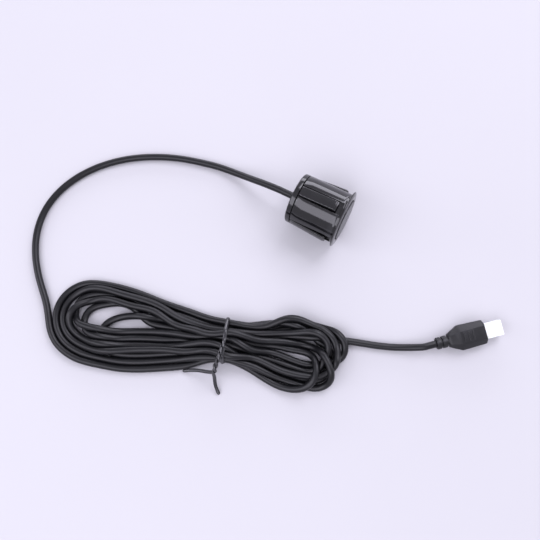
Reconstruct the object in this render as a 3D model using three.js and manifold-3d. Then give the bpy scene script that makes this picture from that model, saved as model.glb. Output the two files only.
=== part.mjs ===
// Panel-mount ultrasonic distance sensor: a round snap-in probe, its thin round lead
// gathered into a tied hank, and a moulded two-way plug on the far end.
// Millimetres, +Z up. The probe lies on its side with its sensing face towards +X.
import * as THREE from 'three';
import { mergeVertices } from 'three/addons/utils/BufferGeometryUtils.js';
import Module from 'manifold-3d';

const wasm = await Module();
wasm.setup();

// ---------------------------------------------------------------- driving dimensions
const SEG = 56;                 // facets round the probe
const BODY_R = 10.35;           // barrel radius, passes a 21 to 22 mm panel hole
const FLANGE_R = 11.75;         // bezel radius, stops against the panel
const BEZEL_H = 1.2;            // height of the bezel in front of its seat
const BARREL_END = -18.4;       // rear end of the barrel shell
const REAR_U = -20.7;           // rear end of the cap
const REAR_R = 10.1;            // radius of the cap at its rear edge
const BORE_R = 8.55;            // bore of the barrel
const CAN_R = 7.9;              // transducer cup
const WING_W = 4.0;             // width of a snap wing
const WING_T = 0.85;            // thickness of a snap wing
const WING_TIP_U = -2.7;        // free end, leaves room for the panel behind the bezel
const WING_TIP_R = 11.45;       // free end's outer radius
const WINDOW_W = 5.1;           // width of the window round a wing
const WINDOW_FLOOR = 9.1;       // distance of the window's floor from the axis
const CORD_D = 2.75;            // outer diameter of the lead
// the bezel is larger than the rear, so the probe lies nose up, on the bezel's rim and the cap's edge
const RIM_U = 0.12, CAP_EDGE_U = -20.35;
const PITCH = Math.atan((FLANGE_R - BODY_R) * Math.cos(Math.PI / SEG) / (RIM_U - CAP_EDGE_U));
const PROBE_X = 9.75;           // bezel seat's centre, before the origin moves to the middle of the probe
const PROBE_Z = FLANGE_R * Math.cos(Math.PI / SEG) * Math.cos(PITCH) - RIM_U * Math.sin(PITCH);
const ORIGIN_X = 0.5555;        // brings the middle of the probe's length to x = 0

const HANK_H = 9.0;             // height of the tied hank
const TIE = { x: -9.56, y: -63.04, turn: 20.5 * Math.PI / 180 };
const PLUG = { x: 67.68, y: -23.0, z: 3.55, turn: 41.86 * Math.PI / 180, roll: 8 * Math.PI / 180 };
const PLUG_L = 14.7;            // moulded grip
const CONN_W = 6.0, CONN_T = 4.9, PITCH_C = 2.0;

// ---------------------------------------------------------------- materials
const mat = (color, roughness, metalness = 0) => new THREE.MeshStandardMaterial({ color, roughness, metalness });
const M = {
  shell: mat(0x101013, 0.22),
  wing: mat(0x111114, 0.24),
  face: mat(0x1a1a1e, 0.35),
  silicone: mat(0x08080a, 0.6),
  ceramic: mat(0xd8d2c4, 0.5),
  foam: mat(0x3a3a3e, 0.9),
  filler: mat(0xb8b8b4, 0.6),
  epoxy: mat(0x0c0c0c, 0.35),
  red: mat(0xa01818, 0.45),
  white: mat(0xe8e8e8, 0.45),
  blackwire: mat(0x0e0e0e, 0.45),
  jacket: mat(0x141416, 0.42),
  tie: mat(0x151517, 0.25),
  overmould: mat(0x19191b, 0.45),
  nylon: mat(0xf4f3ee, 0.4),
  brass: mat(0xc8a55a, 0.3, 1),
};

// ---------------------------------------------------------------- geometry helpers
function tidy(geometry) {
  const g = geometry.clone();
  for (const k of Object.keys(g.attributes)) if (k !== 'position') g.deleteAttribute(k);
  const m = mergeVertices(g, 1e-4);
  const p = m.attributes.position, idx = m.index.array, keep = [];
  let vol = 0;
  const a = new THREE.Vector3(), b = new THREE.Vector3(), c = new THREE.Vector3();
  for (let i = 0; i < idx.length; i += 3) {
    const [i0, i1, i2] = [idx[i], idx[i + 1], idx[i + 2]];
    if (i0 === i1 || i1 === i2 || i2 === i0) continue;
    keep.push(i0, i1, i2);
    a.fromBufferAttribute(p, i0); b.fromBufferAttribute(p, i1); c.fromBufferAttribute(p, i2);
    vol += a.dot(b.clone().cross(c));
  }
  if (vol < 0) for (let i = 0; i < keep.length; i += 3) [keep[i], keep[i + 1]] = [keep[i + 1], keep[i]];
  const out = new THREE.BufferGeometry();
  out.setAttribute('position', new THREE.BufferAttribute(new Float32Array(p.array), 3));
  out.setIndex(keep);
  return out;
}
function toSolid(geometry) {
  const g = tidy(geometry);
  return new wasm.Manifold(new wasm.Mesh({
    numProp: 3,
    vertProperties: new Float32Array(g.attributes.position.array),
    triVerts: new Uint32Array(g.index.array),
  }));
}
function fromSolid(s) {
  const m = s.getMesh();
  const g = new THREE.BufferGeometry();
  const n = m.vertProperties.length / m.numProp;
  const pos = new Float32Array(n * 3);
  for (let i = 0; i < n; i++) for (let k = 0; k < 3; k++) pos[i * 3 + k] = m.vertProperties[i * m.numProp + k];
  g.setAttribute('position', new THREE.BufferAttribute(pos, 3));
  g.setIndex(Array.from(m.triVerts));
  return g;
}
const cut = (a, ...bs) => fromSolid(bs.reduce((s, b) => s.subtract(toSolid(b)), toSolid(a)));
const join = (a, ...bs) => fromSolid(bs.reduce((s, b) => s.add(toSolid(b)), toSolid(a)));

// profile of [u, r] pairs turned about the local X axis
function turned(profile, seg = SEG) {
  const pts = profile.map(([u, r]) => new THREE.Vector2(r, u));
  const first = pts[0], last = pts[pts.length - 1];
  if (!(first.x === 0 && last.x === 0)) pts.push(first.clone());
  const g = new THREE.LatheGeometry(pts, seg, Math.PI / seg);
  g.rotateZ(-Math.PI / 2);
  return tidy(g);
}
const rod = (u0, u1, r, y = 0, z = 0, seg = 12) => turned([[u0, 0], [u0, r], [u1, r], [u1, 0]], seg).translate(0, y, z);
function block(x0, x1, y0, y1, z0, z1) {
  return new THREE.BoxGeometry(x1 - x0, y1 - y0, z1 - z0).translate((x0 + x1) / 2, (y0 + y1) / 2, (z0 + z1) / 2);
}
function circle(r, n) {
  const s = new THREE.Shape();
  for (let i = 0; i < n; i++) {
    const t = (i + 0.5) / n * 2 * Math.PI;
    i ? s.lineTo(r * Math.cos(t), r * Math.sin(t)) : s.moveTo(r * Math.cos(t), r * Math.sin(t));
  }
  s.closePath();
  return s;
}
function tube(points, r, steps, sides = 8) {
  const curve = new THREE.CatmullRomCurve3(points.map(p => new THREE.Vector3(...p)), false, 'centripetal');
  return tidy(new THREE.ExtrudeGeometry(circle(r, sides), { steps, bevelEnabled: false, extrudePath: curve }));
}
// rings of equal point count, joined into one closed skin along X
function loft(sections) {
  const n = sections[0].length, pos = [], idx = [];
  sections.forEach(s => s.forEach(p => pos.push(...p)));
  for (let k = 0; k < sections.length - 1; k++)
    for (let i = 0; i < n; i++) {
      const a = k * n + i, b = k * n + (i + 1) % n;
      idx.push(a, b, a + n, b, b + n, a + n);
    }
  const last = (sections.length - 1) * n;
  for (let i = 1; i < n - 1; i++) { idx.push(0, i + 1, i); idx.push(last, last + i, last + i + 1); }
  const g = new THREE.BufferGeometry();
  g.setAttribute('position', new THREE.BufferAttribute(new Float32Array(pos), 3));
  g.setIndex(idx);
  return tidy(g);
}

// outline of a rounded box, half-width hw, from z0 to z1
function roundedBox(hw, z0, z1, r) {
  const pts = [], corners = [[hw - r, z0 + r, -90], [hw - r, z1 - r, 0], [-hw + r, z1 - r, 90], [-hw + r, z0 + r, 180]];
  corners.forEach(([y, z, a]) => {
    for (let i = 0; i <= 4; i++) {
      const t = (a + i * 22.5) * Math.PI / 180;
      pts.push(new THREE.Vector2(y + r * Math.cos(t), z + r * Math.sin(t)));
    }
  });
  return pts;
}

const root = new THREE.Group();
root.position.x = ORIGIN_X;
function add(parent, name, geometry, material) {
  const mesh = new THREE.Mesh(geometry, material);
  mesh.name = name;
  parent.add(mesh);
  return mesh;
}

// ---------------------------------------------------------------- probe
// local X runs forward along the probe's axis, 0 at the bezel's seat on the panel
const probe = new THREE.Group();
probe.position.set(PROBE_X, 0, PROBE_Z);
probe.rotation.y = -PITCH;
root.add(probe);

// barrel and bezel in one moulding, with four windows for the wings
const shell = turned([
  [BARREL_END, BORE_R], [BARREL_END, BODY_R - 0.15], [BARREL_END + 0.15, BODY_R], [0, BODY_R],
  [0, FLANGE_R - 0.12], [RIM_U, FLANGE_R], [0.32, FLANGE_R - 0.02], [0.55, FLANGE_R - 0.35], [0.85, 10.6], [1.08, 9.6],
  [BEZEL_H, 8.95], [BEZEL_H - 0.04, BORE_R],
  [-9.9, BORE_R], [-9.9, 7.5], [-11.0, 7.5], [-11.0, BORE_R],
]);
const windows = [0, 1, 2, 3].map(i =>
  block(BARREL_END - 2, -0.9, -WINDOW_W / 2, WINDOW_W / 2, WINDOW_FLOOR, 13).rotateX(i * Math.PI / 2));
add(probe, 'barrel_housing', cut(shell, ...windows), M.shell);

// snap wings: flush at the root, flared outwards to a squared free end with a small lip
function wing() {
  const root_r = BODY_R - 0.02, tip_r = WING_TIP_R, u0 = BARREL_END, u1 = WING_TIP_U;
  const slope = (tip_r - root_r) / (u1 - u0);
  const at = u => root_r + slope * (u - u0);
  const s = new THREE.Shape([
    [u0, at(u0) - WING_T - 0.05], [u1, tip_r - WING_T - 0.1], [u1, tip_r - 0.3], [u1 - 0.25, tip_r - 0.28],
    [u1 - 0.9, at(u1 - 0.9)], [u0 + 0.1, at(u0)], [u0, at(u0) - 0.1],
  ].map(([u, r]) => new THREE.Vector2(u, r)));
  const g = new THREE.ExtrudeGeometry(s, { depth: WING_W, bevelEnabled: false, steps: 1 });
  // section lies in local X and radius; width along local Y
  g.translate(0, 0, -WING_W / 2);
  g.rotateX(Math.PI / 2);
  return tidy(g);
}
[['top', 0], ['right', 3], ['bottom', 2], ['left', 1]].forEach(([side, i]) => {
  // i quarter turns about the probe's axis: left is +Y, right is -Y
  const g = wing().rotateX(-i * Math.PI / 2);
  add(probe, `snap_wing_${side}`, g, M.wing);
});

// rear cap: the band round the rear edge, closing the barrel, with a spigot in the bore
add(probe, 'rear_cap', turned([
  [-16.6, 7.3], [-16.6, 8.3], [-18.7, 8.3], [-18.7, BODY_R - 0.12], [-18.82, BODY_R], [CAP_EDGE_U, BODY_R],
  [REAR_U, REAR_R], [REAR_U, 2.85], [-19.7, 2.85], [-19.7, 7.3],
]), M.shell);

// transducer: cup, soft sleeve, piezo disc, damping pad, filler
add(probe, 'transducer_can', turned([
  [1.25, 0], [1.23, 4.5], [1.18, 7.6], [0.95, CAN_R], [-8.6, CAN_R], [-8.6, 7.0], [0.2, 7.0], [0.2, 0],
]), M.face);
add(probe, 'isolator_sleeve', turned([
  [0.55, CAN_R + 0.15], [0.55, 8.4], [-9.6, 8.4], [-9.6, 7.0], [-8.9, 7.0], [-8.9, CAN_R + 0.15],
]), M.silicone);
add(probe, 'piezo_disc', rod(-0.9, -0.1, 4.8, 0, 0, 32), M.ceramic);
const leadHoles = (u0, u1, r) => [2, -2].map(y => rod(u0, u1, r, y, 0, 12));
add(probe, 'damping_pad', cut(rod(-3.6, -1.2, 6.7, 0, 0, 32), ...leadHoles(-4.5, 0, 0.65)), M.foam);
add(probe, 'can_filler', cut(rod(-8.4, -3.9, 6.7, 0, 0, 32), ...leadHoles(-9.5, -3, 0.65)), M.filler);
add(probe, 'transducer_lead_signal', rod(-10.2, -1.2, 0.3, 2, 0, 8), M.red);
add(probe, 'transducer_lead_ground', rod(-10.2, -1.2, 0.3, -2, 0, 8), M.blackwire);
add(probe, 'splice_sleeve_signal', rod(-13.9, -10.5, 0.8, 2, 0, 12), M.blackwire);
add(probe, 'splice_sleeve_ground', rod(-13.9, -10.5, 0.8, -2, 0, 12), M.blackwire);
add(probe, 'cord_core_signal', tube([[-14.2, 2, 0], [-14.9, 1.85, 0], [-15.7, 1.1, 0], [-16.4, 0.65, 0], [-17.1, 0.6, 0]], 0.42, 8), M.red);
add(probe, 'cord_core_ground', tube([[-14.2, -2, 0], [-14.9, -1.85, 0], [-15.7, -1.1, 0], [-16.4, -0.65, 0], [-17.1, -0.6, 0]], 0.42, 8), M.white);
add(probe, 'rear_potting', cut(rod(-16.3, -11.3, 8.2, 0, 0, 32),
  ...leadHoles(-17.5, -10.5, 1.1), block(-17.5, -13.2, -2.0, 2.0, -0.8, 0.8)), M.epoxy);
add(probe, 'cord_entry', rod(-22.0, -17.4, CORD_D / 2, 0, 0, 16), M.jacket);
add(probe, 'rear_grommet', turned([
  [-18.8, 1.65], [-18.8, 3.6], [-19.4, 3.6], [-19.4, 2.55], [-21.0, 2.55], [-21.0, 3.3], [-21.5, 3.3],
  [-22.3, 2.5], [-22.3, 1.65],
], 24), M.silicone);

// ---------------------------------------------------------------- lead, straight out of the grommet and down to the surface
const R0 = CORD_D / 2;
const exitAt = (u) => [PROBE_X + u * Math.cos(PITCH), 0, PROBE_Z + u * Math.sin(PITCH)];
const leadRoute = [
  exitAt(-22.6), exitAt(-25.4), [-19.0, 0.2, 9.0], [-23.4, 0.6, 7.6], [-28.3, 0.8, 5.75], [-33.6, 0.75, 4.1], [-38.9, 0.6, 2.75],
  [-44.1, 0.2, 1.85], [-49.2, -0.5, 1.45], [-54.3, -1.5, R0], [-64.0, -4.5, R0], [-73.2, -8.6, R0], [-81.8, -14.0, R0],
  [-89.2, -20.7, R0], [-95.4, -28.5, R0], [-99.8, -37.5, R0], [-101.5, -47.3, R0], [-100.0, -56.7, R0], [-95.8, -66.0, R0],
  [-89.6, -74.1, R0], [-86.0, -77.5, R0], [-82.1, -80.9, R0], [-79.7, -83.1, R0],
];
const onFloor = route => route.map(([x, y, z]) => [x, y, Math.max(z, R0 + 0.02)]);
add(root, 'cord_lead', tube(onFloor(leadRoute), R0, 40), M.jacket);

// ---------------------------------------------------------------- hank, tied a little right of its middle
const hankOutline = [
  [-77.7, -86.2], [-78.5, -78.5], [-77.2, -74.2], [-74.5, -69.8], [-70.4, -66.3], [-63.9, -63.8], [-57.2, -62.0], [-50.4, -60.5],
  [-43.4, -59.7], [-36.4, -59.1], [-29.6, -58.0], [-22.7, -56.9], [-15.8, -55.8], [-9.2, -53.7], [-2.9, -50.1], [3.3, -46.2],
  [9.4, -41.7], [16.2, -40.4], [23.0, -39.2], [28.0, -39.1], [32.0, -40.6], [34.6, -42.6], [36.6, -46.0], [38.2, -51.7],
  [37.9, -55.5], [36.8, -60.0], [33.7, -63.4], [29.2, -66.4], [23.0, -69.3], [16.3, -70.6], [9.1, -70.5], [1.9, -70.2],
  [-5.1, -71.2], [-11.3, -74.1], [-17.1, -78.4], [-23.3, -83.6], [-29.5, -87.9], [-35.9, -91.1], [-42.4, -93.7], [-49.1, -95.7],
  [-55.8, -97.3], [-62.8, -98.0], [-68.1, -96.7], [-72.2, -95.1], [-75.0, -92.4], [-76.7, -90.0],
];
{
  const s = new THREE.Shape(hankOutline.map(p => new THREE.Vector2(...p)));
  const g = new THREE.ExtrudeGeometry(s, { depth: HANK_H, bevelEnabled: false, steps: 1 });
  const place = b => b.rotateZ(TIE.turn).translate(TIE.x, TIE.y, 0);
  // the tie pinches the hank to a rounded section
  const waist = new THREE.ExtrudeGeometry(new THREE.Shape(roundedBox(8.35, 0.95, HANK_H, 2.9)), { depth: 4, bevelEnabled: false, steps: 1 });
  waist.translate(0, 0, -2).rotateX(Math.PI / 2).rotateZ(Math.PI / 2);
  add(root, 'cord_hank', cut(g, place(cut(block(-1.1, 1.1, -13, 13, -1, HANK_H + 1), waist))), M.jacket);
}

// ---------------------------------------------------------------- twist tie: a loop round the hank, its twist and two tails
{
  const tie = new THREE.Group();
  tie.position.set(TIE.x, TIE.y, 0);
  tie.rotation.z = TIE.turn;
  root.add(tie);
  const s = new THREE.Shape(roundedBox(9.25, 0.06, HANK_H + 0.85, 3.0));
  s.holes.push(new THREE.Path(roundedBox(8.7, 0.6, HANK_H + 0.32, 2.5)));
  const loop = new THREE.ExtrudeGeometry(s, { depth: 1.3, bevelEnabled: false, steps: 1 });
  loop.translate(0, 0, -0.65).rotateX(Math.PI / 2).rotateZ(Math.PI / 2);
  const twist = tube([[-0.1, -2.4, HANK_H + 1.4], [-0.6, -4.6, HANK_H + 1.45], [-1.2, -7.4, HANK_H + 1.5], [-1.7, -10.6, HANK_H + 1.0], [-2.07, -12.7, 7.8]], 0.95, 12, 8);
  const tailA = tube([[-1.9, -12.0, 7.9], [-3.6, -13.4, 5.8], [-8.5, -14.0, 3.4], [-14.4, -14.4, 1.0]], 0.6, 10, 8);
  const tailB = tube([[-2.0, -12.0, 7.9], [-2.0, -14.2, 5.2], [-1.2, -17.2, 2.8], [0.28, -20.6, 0.8]], 0.6, 8, 8);
  add(tie, 'twist_tie', join(loop, twist, tailA, tailB), M.tie);
}

// ---------------------------------------------------------------- plug lead and plug
const plugGroup = new THREE.Group();
plugGroup.position.set(PLUG.x, PLUG.y, PLUG.z);
plugGroup.rotation.set(0, 0, 0);
const plugRoll = new THREE.Group();
plugGroup.rotation.z = PLUG.turn;
plugRoll.rotation.x = PLUG.roll;
plugGroup.add(plugRoll);
root.add(plugGroup);
const plugAt = u => [PLUG.x + u * Math.cos(PLUG.turn), PLUG.y + u * Math.sin(PLUG.turn), PLUG.z];
const plugRoute = [
  [34.0, -40.5, R0], [36.6, -39.7, R0], [39.8, -38.6, R0], [43.8, -37.1, R0], [48.2, -35.4, R0], [52.5, -33.5, 1.6],
  [56.6, -31.2, 2.3], [59.7, -29.1, 3.0], plugAt(-7.9), plugAt(-5.1),
];
add(root, 'cord_plug_lead', tube(onFloor(plugRoute), R0, 18), M.jacket);

// moulded grip: eight-sided section, ringed strain relief at the neck
const section = (x, hw, tw, ht, s) => [
  [x, hw, -s], [x, hw, s], [x, tw, ht], [x, -tw, ht], [x, -hw, s], [x, -hw, -s], [x, -tw, -ht], [x, tw, -ht]];
const grip = loft([
  section(0, 2.55, 1.5, 2.1, 0.8), section(4.8, 5.0, 2.5, 3.1, 1.0), section(PLUG_L, 4.7, 2.6, 3.1, 1.0)]);
const relief = turned([
  [-4.8, 0], [-4.8, 1.9], [-4.4, 2.35], [-3.1, 2.35], [-3.0, 1.75], [-2.5, 1.75], [-2.4, 2.4], [-0.8, 2.4], [-0.7, 1.85],
  [-0.2, 1.85], [0.0, 1.9], [0.6, 1.9], [0.6, 0],
], 20);
const ribs = [5.65, 7.45, 9.25].map(x => block(x, x + 0.7, -2.3, 2.3, 2.8, 3.4));
const plugBody = join(grip, relief, ...ribs);
add(plugRoll, 'plug_overmould', cut(plugBody,
  block(9.7, 16, -(CONN_W / 2 + 0.2), CONN_W / 2 + 0.2, -(CONN_T / 2 + 0.2), CONN_T / 2 + 0.2),
  block(2.2, 10.3, -2.0, 2.0, -0.75, 0.75)), M.overmould);
add(plugRoll, 'plug_core_signal', tube([[2.5, 0.6, 0], [4.5, 0.65, 0], [7.0, 0.98, 0], [8.5, PITCH_C / 2, 0], [10.6, PITCH_C / 2, 0]], 0.42, 8), M.red);
add(plugRoll, 'plug_core_ground', tube([[2.5, -0.6, 0], [4.5, -0.65, 0], [7.0, -0.98, 0], [8.5, -PITCH_C / 2, 0], [10.6, -PITCH_C / 2, 0]], 0.42, 8), M.white);

// two-way connector housing, 2.0 mm between its contacts
add(plugRoll, 'connector_housing', cut(
  join(block(10.0, 21.8, -CONN_W / 2, CONN_W / 2, -CONN_T / 2, CONN_T / 2 - 0.55),
    block(10.0, 20.6, -CONN_W / 2 + 0.9, CONN_W / 2 - 0.9, 1.0, CONN_T / 2)),
  ...[PITCH_C / 2, -PITCH_C / 2].map(y => block(9, 24, y - 0.75, y + 0.75, -0.85, 0.85))), M.nylon);
[['signal', PITCH_C / 2], ['ground', -PITCH_C / 2]].forEach(([n, y]) => {
  add(plugRoll, `crimp_contact_${n}`, cut(
    join(block(14.3, 20.4, y - 0.5, y + 0.5, -0.6, 0.6), rod(10.9, 15.0, 0.46, y, 0, 12)),
    block(15.8, 21.3, y - 0.25, y + 0.25, -0.32, 0.32)), M.brass);
});

export default root;
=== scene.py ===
import math

import bmesh
import bpy
import numpy as np
from mathutils import Matrix, Vector


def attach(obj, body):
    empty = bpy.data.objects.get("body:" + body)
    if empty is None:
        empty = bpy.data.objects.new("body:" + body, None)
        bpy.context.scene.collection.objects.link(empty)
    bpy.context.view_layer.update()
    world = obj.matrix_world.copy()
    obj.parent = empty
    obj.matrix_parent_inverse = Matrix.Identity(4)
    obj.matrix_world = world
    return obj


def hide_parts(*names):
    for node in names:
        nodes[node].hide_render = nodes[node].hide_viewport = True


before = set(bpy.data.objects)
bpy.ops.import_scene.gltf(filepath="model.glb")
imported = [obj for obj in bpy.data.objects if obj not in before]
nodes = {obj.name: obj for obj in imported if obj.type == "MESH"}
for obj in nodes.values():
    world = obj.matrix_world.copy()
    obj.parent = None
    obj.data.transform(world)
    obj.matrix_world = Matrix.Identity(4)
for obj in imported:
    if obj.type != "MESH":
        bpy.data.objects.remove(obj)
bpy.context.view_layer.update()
scene = bpy.context.scene
MM = 0.001

# ------------------------------------------------------------------ frames shared with the CAD source, in mm
PITCH = math.radians(3.9064)
PROBE = Matrix.Translation((10.3055 * MM, 0, 11.696 * MM)) @ Matrix.Rotation(-PITCH, 4, "Y")
PLUG = (Matrix.Translation((68.2355 * MM, -23.0 * MM, 3.55 * MM))
        @ Matrix.Rotation(math.radians(41.86), 4, "Z") @ Matrix.Rotation(math.radians(8), 4, "X"))
TIE_AT, TIE_TURN = (-9.0045, -63.04), math.radians(20.5)
TIE = Matrix.Translation((TIE_AT[0] * MM, TIE_AT[1] * MM, 0)) @ Matrix.Rotation(TIE_TURN, 4, "Z")
CORD_D = 2.75
R0 = CORD_D / 2

# ------------------------------------------------------------------ camera
FOCAL = 650.0                       # in image widths of 540
ELEV, AZIM = math.radians(76.8), math.radians(27.5)
RIGHT = Vector((math.cos(AZIM), math.sin(AZIM), 0))
AWAY = Vector((-math.sin(AZIM), math.cos(AZIM), 0))
LOOK = math.cos(ELEV) * AWAY - math.sin(ELEV) * Vector((0, 0, 1))
UP = math.sin(ELEV) * AWAY + math.cos(ELEV) * Vector((0, 0, 1))
SEAT = Vector((10.3055, 0, 11.696)) * MM          # middle of the bezel's seat
DEPTH = 0.395 * FOCAL * MM
EYE = SEAT - DEPTH * (LOOK + (72.65 / FOCAL) * RIGHT + (50.85 / FOCAL) * UP)
cam_data = bpy.data.cameras.new("camera")
cam_data.sensor_width = 36.0
cam_data.lens = 36.0 * FOCAL / 540.0
cam_data.clip_start, cam_data.clip_end = 0.01, 20.0
cam = bpy.data.objects.new("camera", cam_data)
scene.collection.objects.link(cam)
cam.matrix_world = Matrix.Translation(EYE) @ Matrix((
    (RIGHT.x, UP.x, -LOOK.x, 0), (RIGHT.y, UP.y, -LOOK.y, 0), (RIGHT.z, UP.z, -LOOK.z, 0), (0, 0, 0, 1)))
scene.camera = cam

# ------------------------------------------------------------------ materials
def material(name, light, dark, rough=(0.35, 0.45), grain=900.0, bump=0.15, depth=0.00002, blotch=120.0, metallic=0.0,
             specular=0.5, coat=0.0, coat_rough=0.1, stretch=(1, 1, 1), uv=False, sheen=0.0, subsurface=0.0, wear=None):
    """Procedural moulded-plastic family: blotches of colour, fine grain in the bump, uneven roughness, paler worn edges."""
    m = bpy.data.materials.new(name)
    m.use_nodes = True
    nt = m.node_tree
    n, link = nt.nodes, nt.links.new
    b = n["Principled BSDF"]
    b.inputs["Metallic"].default_value = metallic
    b.inputs["Specular IOR Level"].default_value = specular
    b.inputs["Coat Weight"].default_value = coat
    b.inputs["Coat Roughness"].default_value = coat_rough
    b.inputs["Sheen Weight"].default_value = sheen
    b.inputs["Subsurface Weight"].default_value = subsurface
    b.inputs["Subsurface Scale"].default_value = 0.0006
    tc = n.new("ShaderNodeTexCoord")
    mp = n.new("ShaderNodeMapping")
    mp.inputs["Scale"].default_value = stretch
    link(tc.outputs["UV" if uv else "Object"], mp.inputs["Vector"])

    def noise(scale, detail, roughness=0.55):
        t = n.new("ShaderNodeTexNoise")
        t.inputs["Scale"].default_value = scale
        t.inputs["Detail"].default_value = detail
        t.inputs["Roughness"].default_value = roughness
        link(mp.outputs["Vector"], t.inputs["Vector"])
        return t

    big, fine = noise(blotch, 4), noise(grain, 3, 0.6)
    ramp = n.new("ShaderNodeValToRGB")
    ramp.color_ramp.elements[0].position, ramp.color_ramp.elements[1].position = 0.32, 0.68
    ramp.color_ramp.elements[0].color = (*dark, 1)
    ramp.color_ramp.elements[1].color = (*light, 1)
    link(big.outputs["Fac"], ramp.inputs["Fac"])
    colour = ramp.outputs["Color"]
    if wear:
        geo = n.new("ShaderNodeNewGeometry")
        edge = n.new("ShaderNodeMapRange")
        edge.inputs["From Min"].default_value, edge.inputs["From Max"].default_value = 0.53, 0.62
        link(geo.outputs["Pointiness"], edge.inputs["Value"])
        scuff = n.new("ShaderNodeMath")
        scuff.operation = "MULTIPLY"
        link(edge.outputs["Result"], scuff.inputs[0])
        link(fine.outputs["Fac"], scuff.inputs[1])
        mix = n.new("ShaderNodeMix")
        mix.data_type = "RGBA"
        mix.inputs["B"].default_value = (*wear, 1)
        link(scuff.outputs[0], mix.inputs["Factor"])
        link(colour, mix.inputs["A"])
        colour = mix.outputs["Result"]
    link(colour, b.inputs["Base Color"])
    rr = n.new("ShaderNodeMapRange")
    rr.inputs["To Min"].default_value, rr.inputs["To Max"].default_value = rough
    link(big.outputs["Fac"], rr.inputs["Value"])
    link(rr.outputs["Result"], b.inputs["Roughness"])
    bp = n.new("ShaderNodeBump")
    bp.inputs["Strength"].default_value = bump
    bp.inputs["Distance"].default_value = depth
    link(fine.outputs["Fac"], bp.inputs["Height"])
    link(bp.outputs["Normal"], b.inputs["Normal"])
    if coat:
        link(bp.outputs["Normal"], b.inputs["Coat Normal"])
    return m


M = {
    "shell": material("gloss_black_shell", (0.0060, 0.0060, 0.0068), (0.0042, 0.0042, 0.0050), (0.07, 0.13), grain=2600, bump=0.05,
                      blotch=260, specular=0.62, wear=(0.03, 0.03, 0.034)),
    "cap": material("gloss_black_cap", (0.0064, 0.0064, 0.0072), (0.0044, 0.0044, 0.0052), (0.09, 0.16), grain=2600, bump=0.06,
                    blotch=260, specular=0.62, wear=(0.03, 0.03, 0.034)),
    "wing": material("gloss_black_wing", (0.0068, 0.0068, 0.0078), (0.0048, 0.0048, 0.0056), (0.12, 0.20), grain=2200, bump=0.10,
                     blotch=340, specular=0.6, wear=(0.035, 0.035, 0.04)),
    "face": material("satin_black_face", (0.0170, 0.0170, 0.0195), (0.0120, 0.0120, 0.0142), (0.24, 0.32), grain=5200, bump=0.35,
                     blotch=420, specular=0.6),
    "silicone": material("silicone_black", (0.0058, 0.0058, 0.0060), (0.0036, 0.0036, 0.0040), (0.5, 0.62), grain=3800, bump=0.3,
                         blotch=500, specular=0.4),
    "grommet": material("rubber_black", (0.0125, 0.0125, 0.0135), (0.0085, 0.0085, 0.0095), (0.42, 0.55), grain=3600, bump=0.3,
                        blotch=500, specular=0.45),
    "jacket": material("pvc_jacket", (0.0062, 0.0062, 0.0074), (0.0036, 0.0036, 0.0046), (0.30, 0.40), grain=5.0, bump=0.22,
                       depth=0.00003, blotch=1.4, specular=0.36, stretch=(60, 9, 1), uv=True),
    "jacket_in": material("pvc_jacket_inside", (0.014, 0.014, 0.016), (0.010, 0.010, 0.012), (0.4, 0.5), grain=2600, bump=0.2),
    "tie": material("tie_plastic", (0.0190, 0.0190, 0.0215), (0.0120, 0.0120, 0.0142), (0.16, 0.26), grain=2400, bump=0.25,
                    blotch=700, specular=0.7, wear=(0.05, 0.05, 0.055)),
    "overmould": material("overmould_pvc", (0.0075, 0.0075, 0.0088), (0.0045, 0.0045, 0.0056), (0.36, 0.5), grain=2400, bump=0.55,
                          depth=0.00004, blotch=420, specular=0.42, wear=(0.04, 0.04, 0.045)),
    "nylon": material("nylon_natural", (0.88, 0.88, 0.86), (0.80, 0.80, 0.775), (0.34, 0.46), grain=2600, bump=0.15, blotch=300,
                      subsurface=0.12),
    "ceramic": material("ceramic", (0.66, 0.62, 0.54), (0.56, 0.52, 0.44), (0.5, 0.62), grain=4200, bump=0.4, blotch=500),
    "foam": material("foam", (0.06, 0.06, 0.066), (0.028, 0.028, 0.032), (0.85, 0.95), grain=2400, bump=0.9, depth=0.0001, blotch=1500),
    "filler": material("filler", (0.50, 0.50, 0.48), (0.40, 0.40, 0.385), (0.5, 0.65), grain=1600, bump=0.4, blotch=500),
    "epoxy": material("epoxy", (0.0060, 0.0060, 0.0060), (0.0035, 0.0035, 0.0035), (0.2, 0.36), grain=900, bump=0.4, blotch=300),
    "core_red": material("core_red", (0.42, 0.020, 0.018), (0.32, 0.012, 0.012), (0.36, 0.46), grain=2600, bump=0.15, blotch=900),
    "core_black": material("core_black", (0.012, 0.012, 0.013), (0.007, 0.007, 0.008), (0.36, 0.46), grain=2600, bump=0.15, blotch=900),
    "core_white": material("core_white", (0.80, 0.80, 0.79), (0.70, 0.70, 0.69), (0.36, 0.46), grain=2600, bump=0.15, blotch=900),
    "shrink": material("shrink_sleeve", (0.010, 0.010, 0.011), (0.006, 0.006, 0.007), (0.45, 0.6), grain=2600, bump=0.5, blotch=900),
    "contact": material("tinned_brass", (0.74, 0.58, 0.30), (0.62, 0.47, 0.23), (0.22, 0.36), grain=3200, bump=0.2, blotch=900, metallic=1.0),
}

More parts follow.
